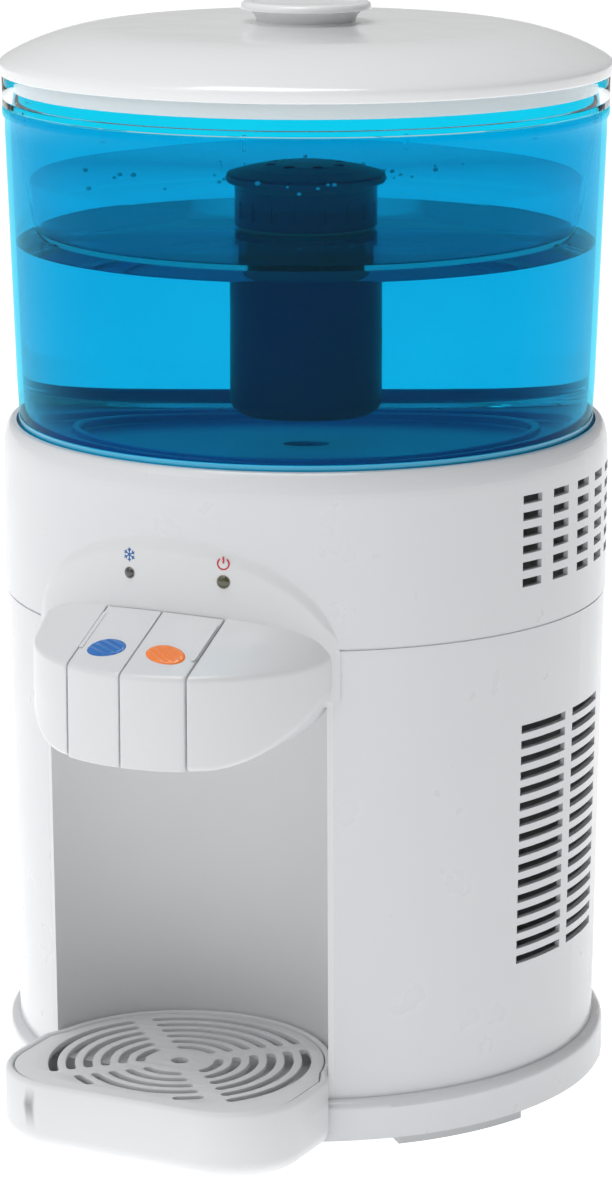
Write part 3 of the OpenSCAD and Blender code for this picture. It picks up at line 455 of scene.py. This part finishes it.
def arch_panel(columns=96, rows=40):
    """The arched front panel, its edge eased down into the casing."""
    soft = 8.0
    reach = BODY_R * math.asin(ARCH_HALF_W / BODY_R)
    outer, inner = [], []
    for i in range(columns + 1):
        s = -reach * math.cos(math.pi * i / columns)
        top = RIM_Z + (ARCH_TOP_Z - RIM_Z) * math.sqrt(max(1 - (s / reach) ** 2, 0))
        column = []
        for j in range(rows + 1):
            t = j / rows
            z = ARCH_BASE_Z + (top - ARCH_BASE_Z) * (1 - (1 - t) ** 1.8)
            gap = min(max(top - z, 0), max(reach - abs(s), 0))
            k = min(gap / soft, 1)
            k = k * k * (3 - 2 * k)
            column.append(arch_point(s, z, ARCH_PROUD * k + 0.02))
        outer.append(column)
        inner.append([arch_point(s, z, -0.6) for _, _, z in column])
    verts = [p for column in outer for p in column] + [p for column in inner for p in column]
    n = rows + 1
    base = len(outer) * n
    faces = []
    for i in range(columns):
        for j in range(rows):
            a, b = i * n + j, (i + 1) * n + j
            faces.append((a, b, b + 1, a + 1))
            faces.append((base + a, base + a + 1, base + b + 1, base + b))
    for i in range(columns):
        for j in (0, rows):
            a, b = i * n + j, (i + 1) * n + j
            faces.append((a, b, base + b, base + a))
    for i in (0, columns):
        for j in range(rows):
            a = i * n + j
            faces.append((a, a + 1, base + a + 1, base + a))
    return verts, faces


def lever_slice(x, inset):
    """A lever's shell at x: the top plate back to the arch panel, the rim and the upright front."""
    back = -math.sqrt((BODY_R + ARCH_PROUD + 0.6) ** 2 - x * x)
    front = canopy_front(x, inset)
    low = KEEL_Z + inset
    inner = SHELL_T - inset
    outline = [(back, canopy_top(x, back, inset)), (front, canopy_top(x, front, inset)), (front, low),
               (front + inner, low), (front + inner, RIM_Z - inner), (back, canopy_top(x, back, inner))]
    return [(x, y, z) for y, z in filleted(outline, [0.3, 2.2, 0.6, 0.6, 1.0, 0.3], 6)]


def lever(x0, x1, steps=14):
    """A lever: shell, two ribs, hinge knuckle and the pad over its plunger."""
    rings = []
    for x, inset in [(x0, 0.7), (x0 + 0.2, 0.2), (x0 + 0.7, 0.0)]:
        rings.append(lever_slice(x, inset))
    for i in range(1, steps):
        rings.append(lever_slice(x0 + (x1 - x0) * i / steps, 0.0))
    for x, inset in [(x1 - 0.7, 0.0), (x1 - 0.2, 0.2), (x1, 0.7)]:
        rings.append(lever_slice(x, inset))
    mid = (x0 + x1) / 2
    parts = [loft(rings)]
    foot = HINGE_Z - 4
    for x in (x0 + 0.3, x1 - 2.1):
        back = HINGE_Y + 2
        front = CANOPY_Y - CANOPY_R + 16
        rib = [(front, canopy_top(mid, front, 1.2)), (back, canopy_top(mid, back, 1.2)), (back, foot), (front + 2, foot)]
        parts.append(prism(rib, x, x + 1.8))
    knuckle = [(HINGE_Y + 3.6 * math.cos(a * math.pi / 16), HINGE_Z + 3.6 * math.sin(a * math.pi / 16))
               for a in range(32)]
    parts.append(prism(knuckle, x0 + 0.2, x1 - 0.2))
    pad = [(TAP_Y - 1.5, 229.3), (TAP_Y + 1.5, 229.3), (TAP_Y + 1.5, canopy_top(mid, TAP_Y, 1.5)),
           (TAP_Y - 1.5, canopy_top(mid, TAP_Y, 1.5))]
    parts.append(prism(pad, mid - 4, mid + 4))
    return joined(*parts)


def badge(mid, half_w=9.4, half_d=6.0, height=1.0, rings=14, segments=72):
    """An oval insert with slanting ridges, lying on a lever's top."""
    slope = math.atan2(canopy_top(mid, BADGE_Y + 1) - canopy_top(mid, BADGE_Y - 1), 2)
    lean = math.radians(28)
    verts, faces = [], []

    def placed(u, v, h):
        y = BADGE_Y + v * math.cos(slope)
        return (mid + u, y - h * math.sin(slope), canopy_top(mid + u, y) + h * math.cos(slope))

    for i in range(rings + 1):
        t = i / rings
        for s in range(segments):
            a = 2 * math.pi * s / segments
            u, v = half_w * t * math.cos(a), half_d * t * math.sin(a)
            edge = math.sqrt(max(1 - t ** 5, 0))
            ridge = 0.5 + 0.5 * math.cos((v * math.cos(lean) + u * math.sin(lean)) * 2 * math.pi / 2.9)
            verts.append(placed(u, v, 0.1 + (height - 0.6 * ridge * (1 - t ** 6)) * edge))
    for s in range(segments):
        a = 2 * math.pi * s / segments
        verts.append(placed(half_w * math.cos(a), half_d * math.sin(a), -0.8))
    for i in range(rings + 1):
        a, b = i * segments, (i + 1) * segments
        faces += [(a + s, a + (s + 1) % segments, b + (s + 1) % segments, b + s) for s in range(segments)]
    faces.append(tuple((rings + 1) * segments + s for s in range(segments)))
    return verts, faces


console = mesh_piece("console_shell", *joined(console_side(-1), console_side(1), arch_panel()),
                     console_white, "casing", "console_white")
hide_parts("console")
for name, x0, mid, skin, slot in [
        ("cold", -LEVER_GAP / 2 - LEVER_W, -TAP_X, badge_blue, "badge_blue"),
        ("ambient", LEVER_GAP / 2, TAP_X, badge_orange, "badge_orange")]:
    piece = mesh_piece(name + "_lever_shell", *lever(x0, x0 + LEVER_W), console_white, name + "_lever",
                       "console_white")
    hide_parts(name + "_lever")
    piece = mesh_piece(name + "_badge_tile", *badge(mid), skin, name + "_lever", slot)
    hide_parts(name + "_badge")


# ---------- lamps and their marks ----------

def around(angle, across, z, height):
    """A point on the arch panel, across from a lamp's centre line."""
    a = math.radians(angle) + across / BODY_R
    r = BODY_R + ARCH_PROUD + height
    return (r * math.sin(a), -r * math.cos(a), z)


def lamp(angle, radius):
    """The domed lens of a lamp."""
    rows = [(radius, -2.0), (radius, 0.25)] + [
        (radius * math.cos(t * math.pi / 12), 0.25 + radius * 0.42 * math.sin(t * math.pi / 12)) for t in range(1, 6)]
    rings = [[around(angle, r * math.cos(k * math.pi / 16), LAMP_Z + r * math.sin(k * math.pi / 16), h)
              for k in range(32)] for r, h in rows]
    return loft(rings)


def ring(angle, radius, width):
    """The ring round a lamp."""
    rows = [(radius, -0.5), (radius, 0.22), (radius + 0.2, 0.3), (radius + width - 0.2, 0.2), (radius + width, -0.1),
            (radius + width, -0.5)]
    rings = [[around(angle, r * math.cos(k * math.pi / 16), LAMP_Z + r * math.sin(k * math.pi / 16), h)
              for k in range(32)] for r, h in rows]
    return loft(rings, wrap=True)


def stroke(angle, points, width, z0):
    """A thin printed line through points (across, up) from a mark's centre, lying on the arch panel."""
    parts = []
    for (x0, y0), (x1, y1) in zip(points, points[1:]):
        run = Vector((x1 - x0, y1 - y0))
        side = Vector((-run.y, run.x)).normalized() * width / 2
        over = run.normalized() * width * 0.25
        corners = [(x0 - over.x + side.x, y0 - over.y + side.y), (x1 + over.x + side.x, y1 + over.y + side.y),
                   (x1 + over.x - side.x, y1 + over.y - side.y), (x0 - over.x - side.x, y0 - over.y - side.y)]
        parts.append(loft([[around(angle, x, z0 + y, h) for x, y in corners] for h in (-0.1, 0.06)]))
    return joined(*parts)


MARK_Z = LAMP_Z + 8.2
MARK_R = 3.0
snow = []
for k in range(6):
    a = math.pi * k / 3 + math.pi / 6
    tip = Vector((math.cos(a), math.sin(a))) * MARK_R
    snow.append(stroke(COLD_LAMP_ANGLE, [(0, 0), tuple(tip)], 0.55, MARK_Z))
    for side in (-1, 1):
        root = tip * 0.55
        twig = root + Vector((math.cos(a + side * math.pi / 4), math.sin(a + side * math.pi / 4))) * MARK_R * 0.36
        snow.append(stroke(COLD_LAMP_ANGLE, [tuple(root), tuple(twig)], 0.5, MARK_Z))
mesh_piece("cold_mark", *joined(*snow), ink_blue, "casing", "badge_blue")

power = [stroke(POWER_LAMP_ANGLE, [(0, 0.3), (0, MARK_R)], 0.7, MARK_Z)]
bow = [(MARK_R * 0.85 * math.sin(math.radians(d)), MARK_R * 0.85 * math.cos(math.radians(d)))
       for d in range(40, 321, 14)]
power.append(stroke(POWER_LAMP_ANGLE, bow, 0.7, MARK_Z))
mesh_piece("power_mark", *joined(*power), ink_red, "casing", "switch_red")

for name, angle, radius, skin, slot in [("cold_lamp", COLD_LAMP_ANGLE, 2.3, lamp_dark, "lamp_clear"),
                                        ("power_lamp", POWER_LAMP_ANGLE, 2.7, lamp_olive, "lamp_olive")]:
    piece = mesh_piece(name + "_lens", *lamp(angle, radius), skin, "casing", slot)
    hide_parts(name)
    mesh_piece(name + "_ring", *ring(angle, radius, 0.5), bezel, "casing", slot)


# ---------- drip tray and grille ----------

TRAY_HALF_W = 73.5
TRAY_FRONT = -188.0
TRAY_BACK = -125.8
TRAY_CORNER_R = 36.0
TRAY_BACK_R = 70.0
TRAY_ARC_START = 12.0
NICHE_Y = -130.0
RIB_HALF_W = 6.1
FRONT_MARGIN = 12.2
RIM_STEPS = [(0.0, 22.3), (0.0, 31.4), (0.3, 32.7), (1.0, 33.6), (1.9, 34.0), (2.7, 33.8), (3.3, 33.3), (3.6, 32.5),
             (3.7, 30.6), (5.2, 30.5), (5.2, 22.3)]


def deep_outline(inset, corner_steps=20):
    """The tray's deep front part from above: straight back and sides, wide round front corners."""
    r = TRAY_CORNER_R - inset
    points = [(TRAY_HALF_W - inset, TRAY_BACK - inset * 0.4)]
    for sign, first in ((1, 0), (-1, 90)):
        for i in range(corner_steps + 1):
            a = math.radians(first + 90 * i / corner_steps)
            points.append((sign * (TRAY_HALF_W - TRAY_CORNER_R) + r * math.cos(a), TRAY_FRONT + TRAY_CORNER_R
                           - r * math.sin(a)))
    points.append((-TRAY_HALF_W + inset, TRAY_BACK - inset * 0.4))
    return points


def pan_outline(inset, arc_steps=56):
    """The whole tray from above: the deep part's front with the round part behind it."""
    r = TRAY_BACK_R - inset
    back = []
    for i in range(arc_steps + 1):
        a = math.radians(TRAY_ARC_START + (90 - TRAY_ARC_START) * i / arc_steps)
        back.append((r * math.cos(a), NICHE_Y + r * math.sin(a)))
    return deep_outline(inset)[::-1] + back + [(-x, y) for x, y in back[::-1] if abs(x) > 1e-6]


def grille_slot(r, a0, a1, half_w=2.1, steps=18):
    """A curved slot with round ends, between two angles about the niche's centre."""
    points = []
    for i in range(steps + 1):
        a = a0 + (a1 - a0) * i / steps
        points.append(((r + half_w) * math.cos(a), (r + half_w) * math.sin(a)))
    for i in range(1, 6):
        a = a1 + math.pi * i / 6
        points.append((r * math.cos(a1) + half_w * math.cos(a), r * math.sin(a1) + half_w * math.sin(a)))
    for i in range(steps + 1):
        a = a1 + (a0 - a1) * i / steps
        points.append(((r - half_w) * math.cos(a), (r - half_w) * math.sin(a)))
    for i in range(1, 6):
        a = a0 + math.pi + math.pi * i / 6
        points.append((r * math.cos(a0) + half_w * math.cos(a), r * math.sin(a0) + half_w * math.sin(a)))
    return [(x, NICHE_Y + y) for x, y in points]


def grille_outlines():
    """The grille's edge and its slots: three full quarters, and a front quarter cut short by the straight front."""
    outlines = [pan_outline(4.2)]
    reach = -TRAY_FRONT + NICHE_Y - FRONT_MARGIN
    quarter = math.pi / 2
    for k in range(6):
        r = 18 + 8 * k
        rib = math.asin(RIB_HALF_W / r)
        for q in range(3):
            outlines.append(grille_slot(r, q * quarter - quarter / 2 + rib, q * quarter + quarter / 2 - rib))
        if r < reach:
            outlines.append(grille_slot(r, 2.5 * quarter + rib, 3.5 * quarter - rib))
    for r in (50, 58, 66, 74):
        rib = math.asin(RIB_HALF_W / r)
        swing = math.acos(reach / r)
        if swing + math.radians(6) < quarter / 2 - rib:
            outlines.append(grille_slot(r, 2.5 * quarter + rib, 3 * quarter - swing - math.radians(3)))
            outlines.append(grille_slot(r, 3 * quarter + swing + math.radians(3), 3.5 * quarter - rib))
    hole = [(4 * math.cos(k * math.pi / 12), NICHE_Y + 4 * math.sin(k * math.pi / 12)) for k in range(24)]
    return outlines + [hole]


def plate(outlines, z0, z1, edge):
    """A flat plate with holes and eased edges, as points and faces."""
    curve = bpy.data.curves.new("plate", "CURVE")
    curve.dimensions = "2D"
    curve.fill_mode = "BOTH"
    curve.extrude = (z1 - z0) / 2 - edge
    curve.bevel_depth = edge
    curve.bevel_resolution = 1
    curve.offset = -edge
    for outline in outlines:
        spline = curve.splines.new("POLY")
        spline.points.add(len(outline) - 1)
        for point, (x, y) in zip(spline.points, outline):
            point.co = (x, y, 0, 1)
        spline.use_cyclic_u = True
    holder = bpy.data.objects.new("plate", curve)
    mesh = bpy.data.meshes.new_from_object(holder)
    verts = [(v.co.x, v.co.y, v.co.z + (z0 + z1) / 2) for v in mesh.vertices]
    faces = [tuple(f.vertices) for f in mesh.polygons]
    bpy.data.objects.remove(holder)
    bpy.data.curves.remove(curve)
    bpy.data.meshes.remove(mesh)
    return verts, faces


pan_rim = loft([[(x, y, z) for x, y in pan_outline(inset)] for inset, z in RIM_STEPS], wrap=True)
pan_floor_edge = [q for q in pan_outline(4.6) if q[1] > TRAY_BACK - 1]
pan_floor_edge += [(-69.5, TRAY_BACK - 2), (69.5, TRAY_BACK - 2)]
pan_floor = loft([[(x, y, z) for x, y in pan_floor_edge] for z in (22.3, 24.5)])
deep_steps = [(9.0 * (1 - math.cos(math.radians(a))), 1.5 + 9.0 * (1 - math.sin(math.radians(a))))
              for a in range(0, 91, 10)][::-1] + [(0.0, 22.3), (5.2, 22.3), (5.2, 11.0), (6.0, 8.6), (8.0, 7.7)]
deep_part = loft([[(x, y, z) for x, y in deep_outline(inset)] for inset, z in deep_steps])
piece = mesh_piece("drip_tray_moulded", *joined(pan_rim, pan_floor, deep_part), tray_white, "drip_tray", "tray_white")
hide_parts("drip_tray")
piece = mesh_piece("drip_grille_moulded", *plate(grille_outlines(), 30.6, 33.2, 0.35), tray_white, "drip_grille",
                   "tray_white")
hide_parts("drip_grille")


# ---------- lid ----------

LID_Z = 472.0
LID_R = 141.2
LID_EDGE = 6.0
PLATEAU_R = 88.0
PLATEAU_Z = 493.0
LID_T = 2.4


def lid_profile():
    """The lid's section: inside of the dome, edge, and the dome's outside up to its flat middle."""
    def dome(inset, steps=28):
        points = []
        for i in range(steps + 1):
            t = i / steps
            r = LID_R - 0.6 - inset - (LID_R - 0.6 - PLATEAU_R) * t
            rise = PLATEAU_Z - LID_Z - LID_EDGE
            points.append((r, LID_Z + LID_EDGE - inset + rise * math.sin(math.pi / 2 * t ** 0.85)))
        return points
    outside = dome(0) + [(40, PLATEAU_Z + 1.0), (0, PLATEAU_Z + 1.4)]
    inside = [(0, PLATEAU_Z - 1.0), (40, PLATEAU_Z - 1.4)] + dome(LID_T)[::-1]
    edge = [(LID_R - LID_T, LID_Z + 0.4), (LID_R - LID_T + 0.4, LID_Z), (LID_R - 0.8, LID_Z),
            (LID_R - 0.2, LID_Z + 0.3), (LID_R, LID_Z + 1.0), (LID_R, LID_Z + LID_EDGE - 1.6),
            (LID_R - 0.15, LID_Z + LID_EDGE - 0.7)]
    return edge + outside + inside


lip = filleted([(134.6, 465.0), (136.6, 465.0), (136.6, 479.0), (134.6, 479.0)], 0.5, 3)
piece = mesh_piece("lid_dome", *joined(lathed(lid_profile()), lathed(lip)), lid_white, "lid", "lid_white", 50)
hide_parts("lid")

knob_curve = [(23 + 7 * (1 - math.sin(math.radians(a))), PLATEAU_Z + 2.0 + 5.5 * math.cos(math.radians(a)))
              for a in range(90, -1, -6)]
knob = [(0, PLATEAU_Z + 0.6), (27, PLATEAU_Z + 0.6), (25.5, PLATEAU_Z + 1.4)] + knob_curve + [
    (30, 501.6), (29.7, 502.8), (28.9, 503.6), (27.6, 504.0), (25.2, 504.0), (24.4, 503.7), (23.6, 503.1),
    (20, 502.9), (0, 502.9)]
piece = mesh_piece("lid_knob_turned", *lathed(knob), lid_white, "lid", "lid_white", 50)
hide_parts("lid_knob")


# ---------- tank, vessel and water ----------

TANK_Z = 303.3
TANK_FLOOR_Z = 305.9
RIM_TOP_Z = 457.0
TANK_R = 139.0
TANK_FOOT_R = 134.0
TANK_T = 2.6
TANK_FILLET = 10.0
OUTLET_R = 8.0


def tank_side(z, inset=0.0):
    """The radius of the tank's leaning side at z, less inset."""
    r = TANK_FOOT_R + (TANK_R - TANK_FOOT_R) * (z - TANK_Z) / (RIM_TOP_Z - TANK_Z)
    return r - inset


def tank_profile():
    """The section of the tank's wall, from its rounded foot to its rim."""
    fillet = TANK_FILLET
    outside, inside = [], []
    for i in range(9):
        a = math.radians(-90 + 90 * i / 8)
        outside.append((TANK_FOOT_R - fillet + fillet * math.cos(a), TANK_Z + fillet + fillet * math.sin(a)))
        inner = fillet - TANK_T
        inside.append((TANK_FOOT_R - fillet + inner * math.cos(a), TANK_Z + fillet + inner * math.sin(a)))
    for z in (330, 370, 410, 445):
        outside.append((tank_side(z), z))
        inside.append((tank_side(z, TANK_T), z))
    rim = [(TANK_R - 0.3, 452.6), (TANK_R + 0.6, 453.2), (TANK_R + 0.8, 454.0), (TANK_R + 0.8, 456.4),
           (TANK_R + 0.3, 457.0), (TANK_R - TANK_T + 0.6, 457.0), (TANK_R - TANK_T, 456.4)]
    return outside + rim + inside[::-1]


wall = mesh_piece("tank_wall", *lathed(tank_profile(), 256), tank_blue, "water_tank", "tank_blue", 60)
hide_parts("water_tank")

floor_r = TANK_FOOT_R - TANK_FILLET
floor_section = [(OUTLET_R, TANK_Z), (floor_r, TANK_Z), (floor_r, TANK_FLOOR_Z)]
for outer in (95.5, 81.5):
    floor_section += [(outer + 0.6, TANK_FLOOR_Z), (outer, TANK_FLOOR_Z + 0.6), (outer, TANK_FLOOR_Z + 3.0),
                      (outer - 0.6, TANK_FLOOR_Z + 3.6), (outer - 2.4, TANK_FLOOR_Z + 3.6),
                      (outer - 3.0, TANK_FLOOR_Z + 3.0), (outer - 3.0, TANK_FLOOR_Z + 0.6),
                      (outer - 3.6, TANK_FLOOR_Z)]
floor_section.append((OUTLET_R, TANK_FLOOR_Z))
spigot = filleted([(5, 287.3), (9, 287.3), (9, 304.5), (7, 304.5), (7, 292.0), (5, 292.0)], 0.4, 3)
mesh_piece("tank_floor", *joined(lathed(floor_section), lathed(spigot)), tank_floor_blue, "water_tank", "tank_blue")

# A thin ring of brighter cyan round the tank's foot: a painted highlight, standing in for the bright edge that light
# through the thick clear foot gives
band_steps = [(308.0, -0.4), (308.0, 0.05), (312.0, 0.15), (313.4, 0.1), (313.6, -0.4)]
band = [(tank_side(z) + proud, z) for z, proud in band_steps]
mesh_piece("tank_foot_painted_highlight_band", *lathed(band, 256), foot_painted_highlight, "water_tank", "tank_blue", 60)

WATER_TOP = 394.6
WATER_CURVE = 7.2
low_water = [(0, TANK_FLOOR_Z - 1.2), (TANK_FOOT_R - 12, TANK_FLOOR_Z - 1.2)]
for i in range(1, 7):
    a = math.radians(-90 + 15 * i)
    low_water.append((floor_r + WATER_CURVE * math.cos(a), TANK_Z + TANK_FILLET + WATER_CURVE * math.sin(a)))
low_water += [(tank_side(z, TANK_T + 0.1), z) for z in (330, 360, WATER_TOP - 0.6)]
low_water += [(tank_side(WATER_TOP, TANK_T + 1.2), WATER_TOP), (0, WATER_TOP)]
mesh_piece("tank_water", *lathed(low_water), still_water, "water_tank", "vessel_clear", 60)

VESSEL_FLOOR = 397.0
VESSEL_T = 2.4
VESSEL_TOP = 424.0
NECK_R = 27.2
COLLAR_R = 33.4


def vessel_side(z):
    """The vessel's inner radius between its floor and the tank's rim."""
    return 123.6 + (133.0 - 123.6) * (z - VESSEL_FLOOR) / (RIM_TOP_Z - VESSEL_FLOOR)


vessel = [(NECK_R, VESSEL_FLOOR), (121, VESSEL_FLOOR), (124, VESSEL_FLOOR + 0.8), (126, VESSEL_FLOOR + 4)]
vessel += [(vessel_side(z) + VESSEL_T, z) for z in (415, 435, 450)]
vessel += [(135.6, 457.5), (139.2, 457.5), (139.8, 458.1), (139.8, 471.0), (139.3, 471.7), (137.8, 471.7),
           (137.3, 471.1), (137.3, 460.6), (136.6, 459.9), (133.6, 459.9), (133.0, 459.0)]
vessel += [(vessel_side(z), z) for z in (450, 435, 415)]
vessel += [(123.7, VESSEL_FLOOR + 5), (122.4, VESSEL_FLOOR + 3), (120, VESSEL_FLOOR + VESSEL_T),
           (NECK_R, VESSEL_FLOOR + VESSEL_T)]
ribs = []
for k in range(12):
    a = math.radians(15 + 30 * k)
    c, s = math.cos(a), math.sin(a)
    corners = [(133.4, 451.2), (135.7, 451.2), (135.9, 458.0), (133.4, 458.0)]
    ribs.append(loft([[(r * c - t * s, r * s + t * c, z) for r, z in corners] for t in (-0.8, 0.8)]))
piece = mesh_piece("vessel_wall", *joined(lathed(vessel, 256), *ribs), vessel_clear, "upper_vessel",
                   "vessel_clear", 60)
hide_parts("upper_vessel")

high_water = [(COLLAR_R, VESSEL_FLOOR + VESSEL_T + 0.2), (119, VESSEL_FLOOR + VESSEL_T + 0.2), (122, VESSEL_FLOOR + 3.8)]
high_water += [(vessel_side(z) - 0.1, z) for z in (404, 414, VESSEL_TOP - 0.5)]
high_water += [(vessel_side(VESSEL_TOP) - 1.0, VESSEL_TOP), (35.5, VESSEL_TOP), (COLLAR_R, VESSEL_TOP + 0.8)]
mesh_piece("vessel_water", *lathed(high_water), shallow_water, "upper_vessel", "vessel_clear", 60)


dice = random.Random(7)
bubbles = []
for k in range(34):
    a = dice.uniform(0, 2 * math.pi)
    r = dice.uniform(34.5, 52) if k % 3 else dice.uniform(60, 110)
    size = dice.uniform(0.5, 1.5)
    bubbles.append(ellipsoid((r * math.cos(a), r * math.sin(a), VESSEL_TOP + 0.1), (size, size, size * 0.7), 6, 10))
mesh_piece("surface_bubbles", *joined(*bubbles), bubble_white, "upper_vessel", "vessel_clear", 60)
neck_bubbles = []
for k in range(26):
    a = dice.uniform(0, 2 * math.pi)
    r = dice.uniform(35, 42)
    size = dice.uniform(0.5, 1.4)
    neck_bubbles.append(ellipsoid((r * math.cos(a), r * math.sin(a), WATER_TOP - size - dice.uniform(0, 3)),
                                  (size, size, size), 6, 10))
mesh_piece("neck_bubbles", *joined(*neck_bubbles), bubble_white, "water_tank", "tank_blue", 60)


# ---------- stage, light and camera ----------

def stage_floor():
    """A wide pale floor."""
    material, nodes, links, output, where = new_material("pale_floor")
    shader = nodes.new("ShaderNodeBsdfPrincipled")
    shader.inputs["Base Color"].default_value = (0.93, 0.93, 0.93, 1)
    shader.inputs["Roughness"].default_value = 0.9
    shader.inputs["Specular IOR Level"].default_value = 0.0
    shader.inputs["Emission Color"].default_value = (1, 1, 1, 1)
    shader.inputs["Emission Strength"].default_value = 0.66
    links.new(shader.outputs["BSDF"], output.inputs["Surface"])
    mesh = bpy.data.meshes.new("floor")
    size = 30.0
    mesh.from_pydata([(-size, -size, 0), (size, -size, 0), (size, size, 0), (-size, size, 0)], [], [(0, 1, 2, 3)])
    mesh.materials.append(material)
    floor = bpy.data.objects.new("floor", mesh)
    bpy.context.scene.collection.objects.link(floor)


def area_light(name, place, aim, size, power):
    """A soft white square light at place, turned to aim."""
    data = bpy.data.lights.new(name, "AREA")
    data.shape = "SQUARE"
    data.size = size
    data.energy = power
    data.color = (1, 1, 1)
    light = bpy.data.objects.new(name, data)
    bpy.context.scene.collection.objects.link(light)
    light.location = place
    light.rotation_euler = (Vector(aim) - Vector(place)).to_track_quat("-Z", "Y").to_euler()


def sky(dim_side, bright_side):
    """A pale surround, dimmer on the object's right so that the casing turns into shade there."""
    world = bpy.data.worlds.new("studio")
    bpy.context.scene.world = world
    world.use_nodes = True
    nodes, links = world.node_tree.nodes, world.node_tree.links
    nodes.clear()
    output = nodes.new("ShaderNodeOutputWorld")
    background = nodes.new("ShaderNodeBackground")
    where = nodes.new("ShaderNodeTexCoord")
    split = nodes.new("ShaderNodeSeparateXYZ")
    ramp = nodes.new("ShaderNodeMapRange")
    ramp.interpolation_type = "SMOOTHSTEP"
    ramp.inputs["From Min"].default_value = 1.0
    ramp.inputs["From Max"].default_value = -0.2
    ramp.inputs["To Min"].default_value = dim_side
    ramp.inputs["To Max"].default_value = bright_side
    links.new(where.outputs["Generated"], split.inputs["Vector"])
    links.new(split.outputs["X"], ramp.inputs["Value"])
    links.new(ramp.outputs["Result"], background.inputs["Strength"])
    background.inputs["Color"].default_value = (1, 1, 1, 1)
    links.new(background.outputs["Background"], output.inputs["Surface"])


stage_floor()
sky(0.12, 0.55)
centre = (0, AXIS_Y, 0.25)
area_light("key", (-0.9, -1.9, 1.9), centre, 1.4, 5)
area_light("top", (-0.1, -0.5, 2.2), centre, 1.2, 17)

VIEW_AZIMUTH = math.radians(26.32)
VIEW_DISTANCE = 1.9125
VIEW_HEIGHT = 0.672
VIEW_PITCH = math.radians(13.25)
camera_data = bpy.data.cameras.new("view")
camera_data.lens = 124.4
camera_data.sensor_width = 36
camera = bpy.data.objects.new("view", camera_data)
bpy.context.scene.collection.objects.link(camera)
camera.location = (VIEW_DISTANCE * math.sin(VIEW_AZIMUTH), AXIS_Y - VIEW_DISTANCE * math.cos(VIEW_AZIMUTH),
                   VIEW_HEIGHT)
camera.rotation_euler = (math.pi / 2 - VIEW_PITCH, 0, VIEW_AZIMUTH)
bpy.context.scene.camera = camera
bpy.context.scene.view_settings.view_transform = "Standard"
